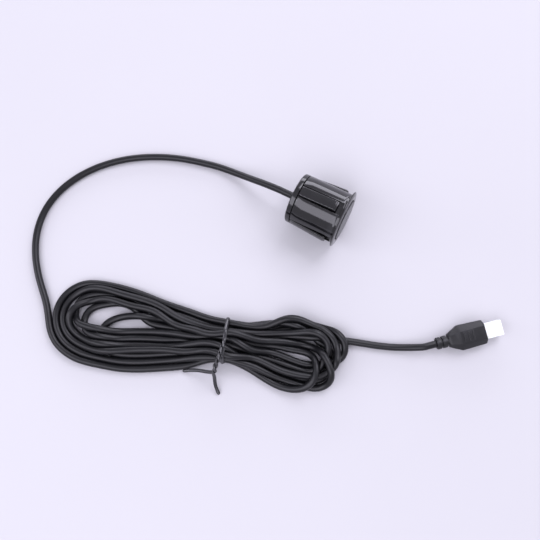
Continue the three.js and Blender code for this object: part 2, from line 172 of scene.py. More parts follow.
# ------------------------------------------------------------------ mesh building
def build(name, verts, faces, mat, matrix=None, sharp=38.0, uvs=None):
    """verts in mm. One object, its mesh in the row frame, normals outwards, sharp only where faces really meet at an edge."""
    me = bpy.data.meshes.new(name)
    me.from_pydata([(x * MM, y * MM, z * MM) for x, y, z in verts], [], faces)
    if uvs is not None:
        layer = me.uv_layers.new(name="UVMap")
        for loop, value in zip(layer.data, uvs):
            loop.uv = value
    me.validate()
    bm = bmesh.new()
    bm.from_mesh(me)
    bmesh.ops.recalc_face_normals(bm, faces=bm.faces)
    bm.to_mesh(me)
    bm.free()
    if matrix is not None:
        me.transform(matrix)
    me.shade_smooth()
    me.set_sharp_from_angle(angle=math.radians(sharp))
    me.materials.append(mat)
    me.update()
    ob = bpy.data.objects.new(name, me)
    scene.collection.objects.link(ob)
    return ob


def joined(*shells):
    verts, faces = [], []
    for v, f in shells:
        k = len(verts)
        verts += v
        faces += [tuple(i + k for i in q) for q in f]
    return verts, faces


def skin(rings, closed=False, cap=True):
    """Quads between rings of equal count. closed joins the last ring to the first; otherwise the ends are capped."""
    n = len(rings[0])
    verts = [tuple(p) for r in rings for p in r]
    faces = []
    last = len(rings) if closed else len(rings) - 1
    for k in range(last):
        a, b = k * n, ((k + 1) % len(rings)) * n
        for i in range(n):
            j = (i + 1) % n
            faces.append((a + i, a + j, b + j, b + i))
    if cap and not closed:
        for k, ring in ((0, rings[0]), ((len(rings) - 1) * n, rings[-1])):
            c = len(verts)
            verts.append(tuple(np.mean(np.array(ring, float), axis=0)))
            faces += [(k + i, k + (i + 1) % n, c) for i in range(n)]
    return verts, faces


def fillet(points, n=5, closed=True):
    """Corners (x, y, radius) rounded by arcs of n+1 points each, so every outline of as many corners has as many points."""
    out, m = [], len(points)
    for i, (x, y, r) in enumerate(points):
        if not closed and i in (0, m - 1):
            out.append((x, y))
            continue
        p, a, b = Vector((x, y)), Vector(points[i - 1][:2]), Vector(points[(i + 1) % m][:2])
        u, v = (a - p), (b - p)
        lu, lv = u.length, v.length
        u.normalize(), v.normalize()
        ang = math.acos(max(-1, min(1, u.dot(v))))
        if r <= 0 or ang > math.pi - 1e-3:
            out += [(x, y)] * 1 if r < 0 else [(x, y)]
            continue
        d = min(r / math.tan(ang / 2), 0.49 * lu, 0.49 * lv)
        rr = d * math.tan(ang / 2)
        bis = (u + v).normalized()
        c = p + bis * (rr / math.sin(ang / 2))
        s, e = p + u * d - c, p + v * d - c
        a0 = math.atan2(s.y, s.x)
        da = math.atan2(s.x * e.y - s.y * e.x, s.dot(e))
        for k in range(n + 1):
            t = a0 + da * k / n
            out.append((c.x + rr * math.cos(t), c.y + rr * math.sin(t)))
    return out


def lathe(profile, seg=144, closed=True, n=5):
    """Profile of (u, r, fillet) about the local X axis; a profile that ends on the axis is left open there."""
    pts = fillet(profile, n, closed)
    verts, faces, rows = [], [], []
    for u, r in pts:
        if r < 1e-6:
            rows.append([len(verts)])
            verts.append((u, 0.0, 0.0))
        else:
            rows.append(list(range(len(verts), len(verts) + seg)))
            for i in range(seg):
                t = 2 * math.pi * i / seg
                verts.append((u, r * math.cos(t), r * math.sin(t)))
    for k in range(len(rows) if closed else len(rows) - 1):
        a, b = rows[k], rows[(k + 1) % len(rows)]
        for i in range(seg):
            j = (i + 1) % seg
            if len(a) == 1 and len(b) == 1:
                break
            if len(a) == 1:
                faces.append((a[0], b[j], b[i]))
            elif len(b) == 1:
                faces.append((a[i], a[j], b[0]))
            else:
                faces.append((a[i], a[j], b[j], b[i]))
    return verts, faces


# ------------------------------------------------------------------ the lead: exit, fall, loose curve, six turns of the hank, plug
# centreline in mm, from inside the grommet to inside the plug's strain relief
CORD = [
    (-11.69, 0, 10.19), (-13.09, -0, 10.1), (-14.49, 0, 10), (-15.88, -0, 9.91), (-17.28, -0, 9.84),
    (-18.66, 0.01, 9.62), (-20.02, 0.05, 9.28), (-21.36, 0.09, 8.86), (-22.67, 0.15, 8.39), (-23.97, 0.22, 7.87),
    (-25.27, 0.28, 7.34), (-26.55, 0.34, 6.79), (-27.84, 0.39, 6.23), (-29.12, 0.44, 5.68), (-30.42, 0.48, 5.15),
    (-31.72, 0.52, 4.63), (-33.03, 0.54, 4.13), (-34.35, 0.57, 3.67), (-35.68, 0.58, 3.25), (-37.03, 0.58, 2.86),
    (-38.38, 0.56, 2.52), (-39.75, 0.53, 2.23), (-41.13, 0.48, 1.98), (-42.51, 0.4, 1.78), (-43.9, 0.28, 1.63),
    (-45.29, 0.12, 1.53), (-46.67, -0.08, 1.46), (-48.05, -0.32, 1.42), (-49.42, -0.6, 1.4), (-50.78, -0.91, 1.39),
    (-52.15, -1.24, 1.4), (-53.51, -1.57, 1.4), (-54.86, -1.92, 1.4), (-56.22, -2.28, 1.4), (-57.57, -2.65, 1.4),
    (-58.91, -3.03, 1.4), (-60.25, -3.44, 1.4), (-61.58, -3.87, 1.4), (-62.91, -4.33, 1.39), (-64.22, -4.81, 1.39),
    (-65.52, -5.32, 1.39), (-66.82, -5.86, 1.39), (-68.1, -6.41, 1.39), (-69.38, -6.99, 1.39), (-70.64, -7.6, 1.39),
    (-71.89, -8.23, 1.4), (-73.13, -8.88, 1.4), (-74.36, -9.55, 1.4), (-75.57, -10.25, 1.4), (-76.77, -10.97, 1.4),
    (-77.95, -11.72, 1.4), (-79.12, -12.5, 1.4), (-80.27, -13.3, 1.4), (-81.4, -14.12, 1.41), (-82.51, -14.98, 1.41),
    (-83.6, -15.85, 1.41), (-84.67, -16.76, 1.4), (-85.71, -17.69, 1.4), (-86.74, -18.64, 1.4), (-87.74, -19.62, 1.4),
    (-88.71, -20.63, 1.4), (-89.66, -21.66, 1.4), (-90.58, -22.72, 1.4), (-91.47, -23.8, 1.4), (-92.33, -24.9, 1.4),
    (-93.16, -26.03, 1.4), (-93.95, -27.18, 1.4), (-94.71, -28.36, 1.4), (-95.44, -29.55, 1.4), (-96.13, -30.77, 1.4),
    (-96.78, -32.01, 1.4), (-97.39, -33.27, 1.4), (-97.96, -34.55, 1.4), (-98.48, -35.85, 1.4), (-98.96, -37.17, 1.4),
    (-99.38, -38.5, 1.4), (-99.76, -39.85, 1.4), (-100.08, -41.21, 1.4), (-100.35, -42.59, 1.4), (-100.56, -43.97, 1.4),
    (-100.71, -45.36, 1.4), (-100.79, -46.76, 1.4), (-100.82, -48.16, 1.4), (-100.78, -49.56, 1.4), (-100.67, -50.95, 1.4),
    (-100.51, -52.34, 1.4), (-100.28, -53.73, 1.4), (-99.99, -55.09, 1.4), (-99.64, -56.45, 1.4), (-99.23, -57.79, 1.4),
    (-98.77, -59.11, 1.4), (-98.25, -60.41, 1.4), (-97.69, -61.69, 1.4), (-97.07, -62.95, 1.4), (-96.41, -64.18, 1.4),
    (-95.7, -65.39, 1.4), (-94.95, -66.57, 1.4), (-94.17, -67.73, 1.4), (-93.35, -68.87, 1.4), (-92.5, -69.98, 1.4),
    (-91.61, -71.07, 1.4), (-90.7, -72.13, 1.4), (-89.77, -73.17, 1.4), (-88.81, -74.19, 1.4), (-87.82, -75.19, 1.4),
    (-86.82, -76.16, 1.4), (-85.79, -77.11, 1.4), (-84.76, -78.05, 1.4), (-83.71, -78.98, 1.4), (-82.66, -79.91, 1.4),
    (-81.62, -80.85, 1.4), (-80.6, -81.81, 1.4), (-79.6, -82.79, 1.4), (-78.64, -83.81, 1.4), (-77.72, -84.86, 1.4),
    (-76.83, -85.94, 1.4), (-75.96, -87.04, 1.4), (-75.1, -88.14, 1.4), (-74.21, -89.23, 1.4), (-73.29, -90.28, 1.4),
    (-72.3, -91.27, 1.4), (-71.25, -92.2, 1.4), (-70.13, -93.04, 1.4), (-68.95, -93.79, 1.4), (-67.7, -94.43, 1.4),
    (-66.4, -94.95, 1.4), (-65.06, -95.35, 1.4), (-63.7, -95.66, 1.4), (-62.31, -95.88, 1.4), (-60.92, -96.01, 1.4),
    (-59.52, -96.06, 1.4), (-58.12, -96.03, 1.4), (-56.72, -95.91, 1.4), (-55.34, -95.7, 1.4), (-53.96, -95.43, 1.4),
    (-52.6, -95.12, 1.4), (-51.24, -94.77, 1.4), (-49.89, -94.4, 1.4), (-48.54, -94.01, 1.4), (-47.2, -93.62, 1.4),
    (-45.86, -93.22, 1.4), (-44.52, -92.82, 1.4), (-43.18, -92.4, 1.4), (-41.85, -91.96, 1.4), (-40.54, -91.47, 1.4),
    (-39.24, -90.94, 1.4), (-37.96, -90.37, 1.41), (-36.69, -89.78, 1.4), (-35.44, -89.16, 1.4), (-34.2, -88.52, 1.4),
    (-32.97, -87.85, 1.4), (-31.75, -87.16, 1.4), (-30.54, -86.45, 1.39), (-29.34, -85.74, 1.39), (-28.14, -85.01, 1.39),
    (-26.94, -84.29, 1.4), (-25.74, -83.57, 1.4), (-24.55, -82.85, 1.4), (-23.35, -82.12, 1.41), (-22.16, -81.39, 1.41),
    (-20.98, -80.63, 1.4), (-19.83, -79.84, 1.4), (-18.71, -79.01, 1.39), (-17.62, -78.13, 1.39), (-16.57, -77.21, 1.39),
    (-15.55, -76.25, 1.4), (-14.55, -75.27, 1.45), (-13.55, -74.3, 1.55), (-12.52, -73.37, 1.68), (-11.44, -72.49, 1.83),
    (-10.31, -71.68, 1.98), (-9.14, -70.94, 2.1), (-7.92, -70.26, 2.19), (-6.65, -69.68, 2.22), (-5.34, -69.2, 2.2),
    (-4, -68.82, 2.11), (-2.63, -68.55, 1.99), (-1.26, -68.37, 1.84), (0.13, -68.27, 1.69), (1.52, -68.22, 1.57),
    (2.91, -68.22, 1.48), (4.31, -68.25, 1.43), (5.7, -68.32, 1.4), (7.09, -68.42, 1.39), (8.48, -68.54, 1.39),
    (9.87, -68.67, 1.39), (11.26, -68.8, 1.39), (12.65, -68.9, 1.39), (14.05, -68.95, 1.39), (15.44, -68.96, 1.4),
    (16.83, -68.89, 1.45), (18.22, -68.76, 1.56), (19.58, -68.54, 1.74), (20.91, -68.23, 2), (22.2, -67.83, 2.34),
    (23.43, -67.34, 2.78), (24.58, -66.75, 3.28), (25.63, -66.04, 3.84), (26.56, -65.19, 4.43), (27.33, -64.2, 5.03),
    (27.91, -63.07, 5.59), (28.27, -61.83, 6.07), (28.4, -60.49, 6.43), (28.28, -59.14, 6.61), (27.91, -57.8, 6.61),
    (27.37, -56.56, 6.43), (26.7, -55.42, 6.02), (26.06, -54.44, 5.31), (25.34, -53.64, 4.44), (24.46, -53.04, 3.58),
    (23.39, -52.66, 2.78), (22.19, -52.51, 2.16), (20.88, -52.57, 1.71), (19.55, -52.81, 1.47), (18.21, -53.17, 1.39),
    (16.9, -53.58, 1.39), (15.57, -53.98, 1.39), (14.23, -54.32, 1.39), (12.88, -54.63, 1.39), (11.54, -54.95, 1.39),
    (10.2, -55.33, 1.39), (8.89, -55.77, 1.39), (7.6, -56.29, 1.4), (6.35, -56.87, 1.5), (5.13, -57.5, 1.72),
    (3.95, -58.12, 2.09), (2.79, -58.71, 2.59), (1.62, -59.21, 3.15), (0.4, -59.61, 3.68), (-0.89, -59.91, 4.06),
    (-2.26, -60.17, 4.13), (-3.58, -60.46, 3.85), (-4.84, -60.88, 3.41), (-6.03, -61.43, 2.95), (-7.17, -62.12, 2.57),
    (-8.32, -62.85, 2.3), (-9.51, -63.55, 2.12), (-10.73, -64.21, 1.99), (-12, -64.79, 1.89), (-13.29, -65.28, 1.79),
    (-14.62, -65.69, 1.7), (-15.97, -66.03, 1.6), (-17.33, -66.29, 1.51), (-18.7, -66.52, 1.44), (-20.08, -66.71, 1.4),
    (-21.46, -66.89, 1.39), (-22.85, -67.07, 1.39), (-24.22, -67.24, 1.39), (-25.61, -67.41, 1.39), (-26.99, -67.6, 1.39),
    (-28.36, -67.82, 1.39), (-29.73, -68.08, 1.39), (-31.09, -68.4, 1.39), (-32.43, -68.77, 1.39), (-33.75, -69.19, 1.39),
    (-35.07, -69.63, 1.39), (-36.41, -70.02, 1.39), (-37.77, -70.28, 1.39), (-39.16, -70.36, 1.39), (-40.54, -70.24, 1.39),
    (-41.9, -69.94, 1.39), (-43.22, -69.52, 1.39), (-44.54, -69.08, 1.39), (-45.86, -68.69, 1.4), (-47.23, -68.42, 1.4),
    (-48.6, -68.31, 1.4), (-49.99, -68.36, 1.4), (-51.36, -68.55, 1.4), (-52.7, -68.89, 1.4), (-53.98, -69.4, 1.39),
    (-55.21, -70.05, 1.39), (-56.36, -70.8, 1.39), (-57.48, -71.61, 1.39), (-58.56, -72.45, 1.39), (-59.64, -73.31, 1.39),
    (-60.67, -74.21, 1.39), (-61.61, -75.22, 1.39), (-62.35, -76.35, 1.39), (-62.85, -77.63, 1.39), (-63.04, -78.96, 1.41),
    (-62.92, -80.33, 1.47), (-62.51, -81.61, 1.57), (-61.81, -82.78, 1.75), (-60.92, -83.74, 2.03), (-59.84, -84.48, 2.47),
    (-58.68, -84.93, 2.98), (-57.42, -85.11, 3.52), (-56.14, -85.03, 3.96), (-54.81, -84.76, 4.22), (-53.51, -84.37, 4.21),
    (-52.23, -83.92, 3.93), (-51.02, -83.47, 3.46), (-49.85, -83.01, 2.88), (-48.7, -82.51, 2.32), (-47.52, -81.95, 1.86),
    (-46.32, -81.34, 1.56), (-45.11, -80.7, 1.42), (-43.9, -80.04, 1.39), (-42.68, -79.37, 1.39), (-41.46, -78.71, 1.39),
    (-40.24, -78.06, 1.4), (-39.01, -77.44, 1.41), (-37.76, -76.82, 1.41), (-36.5, -76.24, 1.41), (-35.24, -75.66, 1.41),
    (-33.98, -75.09, 1.4), (-32.71, -74.52, 1.39), (-31.45, -73.94, 1.39), (-30.2, -73.32, 1.39), (-28.97, -72.68, 1.39),
    (-27.75, -72.01, 1.39), (-26.52, -71.37, 1.39), (-25.26, -70.77, 1.39), (-23.97, -70.28, 1.39), (-22.63, -69.9, 1.39),
    (-21.26, -69.65, 1.4), (-19.88, -69.47, 1.5), (-18.53, -69.26, 1.73), (-17.2, -69, 2.07), (-15.93, -68.66, 2.49),
    (-14.69, -68.22, 2.95), (-13.48, -67.7, 3.39), (-12.29, -67.09, 3.79), (-11.12, -66.41, 4.09), (-9.94, -65.7, 4.31),
    (-8.75, -65, 4.44), (-7.52, -64.36, 4.51), (-6.23, -63.84, 4.52), (-4.9, -63.44, 4.48), (-3.55, -63.19, 4.32),
    (-2.21, -63.01, 3.99), (-0.92, -62.89, 3.52), (0.36, -62.83, 2.97), (1.63, -62.77, 2.43), (2.94, -62.7, 1.96),
    (4.27, -62.59, 1.63), (5.64, -62.42, 1.44), (7, -62.2, 1.39), (8.36, -61.94, 1.39), (9.71, -61.68, 1.39),
    (11.07, -61.41, 1.4), (12.43, -61.16, 1.41), (13.79, -60.91, 1.42), (15.15, -60.69, 1.43), (16.52, -60.49, 1.43),
    (17.87, -60.3, 1.43), (19.25, -60.11, 1.41), (20.6, -59.91, 1.4), (21.96, -59.68, 1.39), (23.29, -59.4, 1.39),
    (24.61, -59, 1.52), (25.8, -58.45, 1.83), (26.85, -57.72, 2.35), (27.68, -56.85, 2.97), (28.29, -55.81, 3.63),
    (28.6, -54.62, 4.18), (28.64, -53.32, 4.62), (28.7, -51.99, 4.74), (28.92, -50.64, 4.62), (28.82, -49.31, 4.69),
    (28.42, -48.02, 4.92), (27.77, -46.89, 5.24), (26.89, -45.92, 5.64), (25.83, -45.21, 6.07), (24.6, -44.73, 6.46),
    (23.3, -44.49, 6.76), (21.93, -44.49, 6.91), (20.58, -44.71, 6.86), (19.28, -45.11, 6.63), (18.08, -45.64, 6.24),
    (16.93, -46.25, 5.77), (15.82, -46.88, 5.28), (14.67, -47.52, 4.81), (13.5, -48.13, 4.44), (12.28, -48.74, 4.16),
    (11.06, -49.35, 3.97), (9.83, -49.97, 3.86), (8.61, -50.62, 3.81), (7.39, -51.29, 3.8), (6.19, -51.98, 3.8),
    (4.99, -52.68, 3.81), (3.79, -53.37, 3.82), (2.58, -54.05, 3.85), (1.35, -54.7, 3.92), (0.1, -55.3, 4),
    (-1.17, -55.86, 4.12), (-2.44, -56.4, 4.28), (-3.72, -56.93, 4.45), (-5, -57.45, 4.61), (-6.28, -57.97, 4.75),
    (-7.57, -58.49, 4.84), (-8.86, -59.01, 4.87), (-10.15, -59.53, 4.83), (-11.44, -60.04, 4.74), (-12.74, -60.54, 4.62),
    (-14.04, -61.03, 4.48), (-15.36, -61.47, 4.33), (-16.69, -61.86, 4.18), (-18.04, -62.19, 4.05), (-19.4, -62.46, 3.93),
    (-20.77, -62.7, 3.85), (-22.15, -62.9, 3.81), (-23.54, -63.08, 3.8), (-24.92, -63.24, 3.82), (-26.31, -63.38, 3.86),
    (-27.7, -63.48, 3.93), (-29.1, -63.54, 4), (-30.49, -63.54, 4.07), (-31.89, -63.51, 4.13), (-33.28, -63.43, 4.14),
    (-34.68, -63.34, 4.11), (-36.07, -63.25, 4.01), (-37.46, -63.21, 3.89), (-38.86, -63.21, 3.78), (-40.25, -63.26, 3.68),
    (-41.64, -63.37, 3.63), (-43.03, -63.54, 3.62), (-44.41, -63.75, 3.66), (-45.79, -64, 3.75), (-47.16, -64.28, 3.87),
    (-48.52, -64.58, 3.98), (-49.88, -64.89, 4.06), (-51.24, -65.21, 4.1), (-52.61, -65.51, 4.11), (-53.98, -65.8, 4.1),
    (-55.36, -66.06, 4.05), (-56.73, -66.32, 3.98), (-58.11, -66.57, 3.88), (-59.47, -66.84, 3.75), (-60.83, -67.13, 3.59),
    (-62.18, -67.49, 3.4), (-63.5, -67.92, 3.2), (-64.78, -68.45, 3), (-66.01, -69.08, 2.79), (-67.16, -69.85, 2.56),
    (-68.21, -70.75, 2.31), (-69.14, -71.76, 2.06), (-69.96, -72.87, 1.84), (-70.67, -74.07, 1.66), (-71.25, -75.34, 1.53),
    (-71.68, -76.67, 1.45), (-71.95, -78.04, 1.41), (-72.04, -79.44, 1.39), (-71.95, -80.83, 1.39), (-71.67, -82.2, 1.39),
    (-71.2, -83.52, 1.39), (-70.57, -84.77, 1.4), (-69.77, -85.92, 1.4), (-68.85, -86.97, 1.4), (-67.81, -87.91, 1.4),
    (-66.67, -88.72, 1.4), (-65.44, -89.39, 1.39), (-64.14, -89.9, 1.39), (-62.78, -90.25, 1.39), (-61.39, -90.45, 1.41),
    (-60, -90.53, 1.47), (-58.6, -90.52, 1.59), (-57.22, -90.43, 1.79), (-55.86, -90.28, 2.07), (-54.52, -90.09, 2.41),
    (-53.19, -89.85, 2.81), (-51.89, -89.55, 3.21), (-50.6, -89.17, 3.59), (-49.32, -88.7, 3.91), (-48.06, -88.13, 4.12),
    (-46.82, -87.48, 4.19), (-45.61, -86.78, 4.15), (-44.42, -86.05, 4.04), (-43.24, -85.31, 3.9), (-42.06, -84.57, 3.75),
    (-40.87, -83.84, 3.62), (-39.67, -83.14, 3.52), (-38.45, -82.45, 3.46), (-37.23, -81.77, 3.44), (-35.99, -81.11, 3.46),
    (-34.75, -80.46, 3.5), (-33.52, -79.81, 3.55), (-32.28, -79.17, 3.62), (-31.03, -78.53, 3.68), (-29.78, -77.91, 3.75),
    (-28.51, -77.33, 3.84), (-27.22, -76.78, 3.93), (-25.93, -76.26, 4.01), (-24.63, -75.75, 4.07), (-23.32, -75.24, 4.12),
    (-22.03, -74.71, 4.14), (-20.77, -74.11, 4.16), (-19.55, -73.43, 4.18), (-18.36, -72.69, 4.25), (-17.19, -71.94, 4.38),
    (-16.01, -71.23, 4.6), (-14.82, -70.57, 4.91), (-13.6, -69.99, 5.31), (-12.37, -69.52, 5.77), (-11.12, -69.15, 6.26),
    (-9.83, -68.88, 6.74), (-8.51, -68.7, 7.16), (-7.16, -68.54, 7.46), (-5.78, -68.32, 7.62), (-4.44, -67.94, 7.57),
    (-3.16, -67.43, 7.33), (-1.97, -66.83, 6.94), (-0.83, -66.19, 6.42), (0.29, -65.59, 5.85), (1.44, -65.03, 5.29),
    (2.66, -64.56, 4.78), (3.94, -64.19, 4.39), (5.29, -63.93, 4.12), (6.67, -63.75, 3.98), (8.06, -63.65, 3.95),
    (9.46, -63.6, 3.99), (10.85, -63.56, 4.06), (12.25, -63.53, 4.11), (13.64, -63.46, 4.14), (15.03, -63.35, 4.16),
    (16.42, -63.18, 4.17), (17.79, -62.94, 4.16), (19.16, -62.65, 4.15), (20.51, -62.31, 4.13), (21.86, -61.93, 4.11),
    (23.19, -61.52, 4.07), (24.52, -61.08, 4.02), (25.83, -60.61, 3.96), (27.12, -60.09, 3.9), (28.37, -59.47, 3.86),
    (29.53, -58.71, 3.86), (30.58, -57.78, 3.92), (31.47, -56.72, 4.05), (32.19, -55.56, 4.32), (32.72, -54.37, 4.8),
    (33.1, -53.24, 5.53), (33.23, -52.07, 6.27), (33.12, -50.72, 6.61), (32.77, -49.4, 6.34), (32.34, -48.19, 5.79),
    (31.78, -47.03, 5.26), (31.03, -45.91, 4.89), (30.11, -44.87, 4.76), (29.05, -43.97, 4.84), (27.89, -43.22, 5.01),
    (26.63, -42.65, 5.16), (25.28, -42.3, 5.14), (23.9, -42.09, 5.02), (22.52, -41.99, 4.86), (21.13, -41.96, 4.7),
    (19.74, -41.97, 4.58), (18.34, -42, 4.53), (16.95, -42.06, 4.58), (15.56, -42.15, 4.72), (14.19, -42.3, 4.94),
    (12.84, -42.54, 5.19), (11.52, -42.94, 5.43), (10.25, -43.5, 5.61), (9.06, -44.22, 5.7), (7.97, -45.08, 5.64),
    (6.99, -46.06, 5.43), (6.08, -47.08, 5.12), (5.2, -48.1, 4.77), (4.28, -49.1, 4.43), (3.29, -50.04, 4.15),
    (2.21, -50.91, 3.96), (1.05, -51.68, 3.88), (-0.17, -52.37, 3.9), (-1.42, -52.98, 4), (-2.69, -53.53, 4.17),
    (-3.98, -54.04, 4.35), (-5.28, -54.52, 4.53), (-6.59, -54.98, 4.66), (-7.92, -55.41, 4.73), (-9.25, -55.82, 4.7),
    (-10.59, -56.21, 4.57), (-11.91, -56.57, 4.33), (-13.22, -56.93, 3.98), (-14.51, -57.26, 3.55), (-15.79, -57.58, 3.09),
    (-17.07, -57.88, 2.62), (-18.38, -58.14, 2.21), (-19.71, -58.37, 1.87), (-21.08, -58.58, 1.62), (-22.45, -58.77, 1.48),
    (-23.84, -58.95, 1.41), (-25.22, -59.12, 1.39), (-26.61, -59.31, 1.39), (-27.99, -59.51, 1.4), (-29.37, -59.73, 1.41),
    (-30.75, -59.96, 1.41), (-32.13, -60.2, 1.42), (-33.51, -60.43, 1.42), (-34.89, -60.64, 1.41), (-36.28, -60.83, 1.4),
    (-37.67, -61.01, 1.4), (-39.06, -61.17, 1.39), (-40.45, -61.31, 1.39), (-41.84, -61.44, 1.39), (-43.24, -61.56, 1.39),
    (-44.63, -61.69, 1.39), (-46.02, -61.83, 1.4), (-47.42, -61.99, 1.4), (-48.8, -62.17, 1.41), (-50.19, -62.37, 1.41),
    (-51.57, -62.6, 1.41), (-52.95, -62.85, 1.41), (-54.32, -63.13, 1.41), (-55.69, -63.43, 1.41), (-57.05, -63.75, 1.4),
    (-58.41, -64.09, 1.4), (-59.76, -64.45, 1.4), (-61.11, -64.84, 1.39), (-62.45, -65.24, 1.39), (-63.78, -65.68, 1.39),
    (-65.1, -66.16, 1.39), (-66.39, -66.7, 1.39), (-67.65, -67.31, 1.39), (-68.86, -68.01, 1.39), (-69.99, -68.84, 1.39),
    (-71.02, -69.8, 1.39), (-71.94, -70.85, 1.4), (-72.75, -71.99, 1.4), (-73.45, -73.2, 1.4), (-74.02, -74.48, 1.4),
    (-74.46, -75.81, 1.4), (-74.75, -77.18, 1.4), (-74.91, -78.57, 1.4), (-74.91, -79.97, 1.4), (-74.76, -81.36, 1.4),
    (-74.46, -82.73, 1.4), (-74.02, -84.06, 1.4), (-73.45, -85.34, 1.4), (-72.74, -86.54, 1.4), (-71.92, -87.68, 1.4),
    (-70.99, -88.73, 1.4), (-69.98, -89.69, 1.4), (-68.87, -90.56, 1.4), (-67.7, -91.31, 1.4), (-66.46, -91.96, 1.41),
    (-65.15, -92.47, 1.4), (-63.8, -92.85, 1.4), (-62.43, -93.1, 1.4), (-61.03, -93.24, 1.4), (-59.63, -93.29, 1.39),
    (-58.23, -93.26, 1.39), (-56.84, -93.15, 1.39), (-55.45, -92.94, 1.39), (-54.08, -92.66, 1.39), (-52.72, -92.34, 1.39),
    (-51.36, -91.98, 1.39), (-50.01, -91.61, 1.4), (-48.67, -91.24, 1.4), (-47.32, -90.85, 1.4), (-45.98, -90.46, 1.41),
    (-44.64, -90.05, 1.41), (-43.31, -89.61, 1.41), (-42, -89.12, 1.41), (-40.7, -88.58, 1.41), (-39.42, -88.02, 1.41),
    (-38.15, -87.43, 1.4), (-36.9, -86.81, 1.4), (-35.66, -86.16, 1.4), (-34.43, -85.49, 1.39), (-33.21, -84.81, 1.39),
    (-32, -84.1, 1.39), (-30.8, -83.38, 1.39), (-29.6, -82.66, 1.39), (-28.4, -81.94, 1.4), (-27.21, -81.21, 1.43),
    (-26.01, -80.49, 1.48), (-24.81, -79.77, 1.58), (-23.62, -79.05, 1.72), (-22.44, -78.33, 1.91), (-21.28, -77.6, 2.15),
    (-20.12, -76.86, 2.44), (-18.97, -76.13, 2.75), (-17.82, -75.42, 3.09), (-16.66, -74.72, 3.43), (-15.49, -74.03, 3.75),
    (-14.3, -73.35, 4.04), (-13.1, -72.68, 4.31), (-11.89, -72.05, 4.54), (-10.64, -71.44, 4.73), (-9.38, -70.87, 4.86),
    (-8.09, -70.32, 4.95), (-6.79, -69.82, 4.99), (-5.47, -69.37, 4.97), (-4.14, -68.98, 4.89), (-2.79, -68.63, 4.76),
    (-1.45, -68.31, 4.61), (-0.1, -67.98, 4.44), (1.24, -67.65, 4.27), (2.59, -67.35, 4.11), (3.95, -67.09, 3.95),
    (5.32, -66.89, 3.8), (6.69, -66.75, 3.63), (8.07, -66.66, 3.44), (9.44, -66.61, 3.22), (10.81, -66.55, 2.95),
    (12.16, -66.48, 2.64), (13.51, -66.37, 2.32), (14.86, -66.23, 2.03), (16.22, -66.06, 1.78), (17.57, -65.86, 1.59),
    (18.94, -65.65, 1.47), (20.31, -65.43, 1.41), (21.68, -65.21, 1.39), (23.04, -64.98, 1.39), (24.41, -64.74, 1.39),
    (25.77, -64.5, 1.39), (27.14, -64.24, 1.39), (28.47, -63.9, 1.39), (29.77, -63.43, 1.42), (30.99, -62.81, 1.57),
    (32.08, -62.02, 1.89), (32.96, -61.12, 2.4), (33.63, -60.12, 3.09), (34.04, -59.11, 3.91), (34.15, -58.1, 4.84),
    (33.96, -57.15, 5.8), (33.51, -56.21, 6.71), (32.83, -55.26, 7.42), (31.94, -54.27, 7.81), (30.98, -53.3, 7.88),
    (29.93, -52.41, 7.76), (28.81, -51.64, 7.52), (27.67, -50.98, 7.08), (26.69, -50.46, 6.27), (25.88, -50.06, 5.21),
    (25.06, -49.77, 4.14), (24.11, -49.59, 3.15), (23, -49.54, 2.34), (21.74, -49.62, 1.76), (20.41, -49.8, 1.45),
    (19.05, -50.08, 1.39), (17.73, -50.45, 1.56), (16.45, -50.89, 1.88), (15.21, -51.38, 2.26), (13.95, -51.86, 2.63),
    (12.69, -52.34, 2.94), (11.42, -52.86, 3.2), (10.17, -53.42, 3.39), (8.91, -54.02, 3.54), (7.68, -54.64, 3.67),
    (6.44, -55.26, 3.84), (5.21, -55.87, 4.06), (3.97, -56.44, 4.37), (2.74, -56.94, 4.76), (1.49, -57.36, 5.21),
    (0.21, -57.69, 5.67), (-1.08, -57.97, 6.11), (-2.39, -58.21, 6.52), (-3.72, -58.44, 6.89), (-5.05, -58.7, 7.21),
    (-6.38, -59.04, 7.47), (-7.68, -59.51, 7.64), (-8.92, -60.15, 7.69), (-10.09, -60.91, 7.66), (-11.24, -61.7, 7.58),
    (-12.39, -62.48, 7.47), (-13.59, -63.18, 7.34), (-14.84, -63.77, 7.18), (-16.15, -64.21, 7), (-17.49, -64.53, 6.77),
    (-18.84, -64.75, 6.49), (-20.18, -64.93, 6.16), (-21.49, -65.14, 5.75), (-22.79, -65.4, 5.31), (-24.08, -65.69, 4.86),
    (-25.39, -65.98, 4.48), (-26.72, -66.25, 4.18), (-28.09, -66.44, 4), (-29.48, -66.53, 3.95), (-30.87, -66.52, 4.01),
    (-32.26, -66.43, 4.15), (-33.63, -66.27, 4.32), (-35.01, -66.1, 4.47), (-36.39, -65.95, 4.58), (-37.78, -65.86, 4.62),
    (-39.17, -65.9, 4.57), (-40.56, -66.06, 4.47), (-41.92, -66.3, 4.35), (-43.27, -66.63, 4.25), (-44.61, -66.99, 4.17),
    (-45.96, -67.37, 4.14), (-47.3, -67.74, 4.13), (-48.65, -68.07, 4.16), (-50.01, -68.36, 4.2), (-51.38, -68.61, 4.23),
    (-52.75, -68.84, 4.24), (-54.13, -69.08, 4.19), (-55.49, -69.35, 4.07), (-56.83, -69.67, 3.88), (-58.12, -70.09, 3.61),
    (-59.38, -70.61, 3.29), (-60.57, -71.24, 2.97), (-61.7, -71.99, 2.67), (-62.79, -72.81, 2.47), (-63.85, -73.71, 2.44),
    (-64.84, -74.66, 2.63), (-65.72, -75.66, 3.02), (-66.48, -76.7, 3.5), (-67.14, -77.85, 3.91), (-67.64, -79.1, 4.18),
    (-67.94, -80.45, 4.29), (-68.01, -81.81, 4.23), (-67.8, -83.15, 3.96), (-67.3, -84.33, 3.51), (-66.56, -85.37, 2.97),
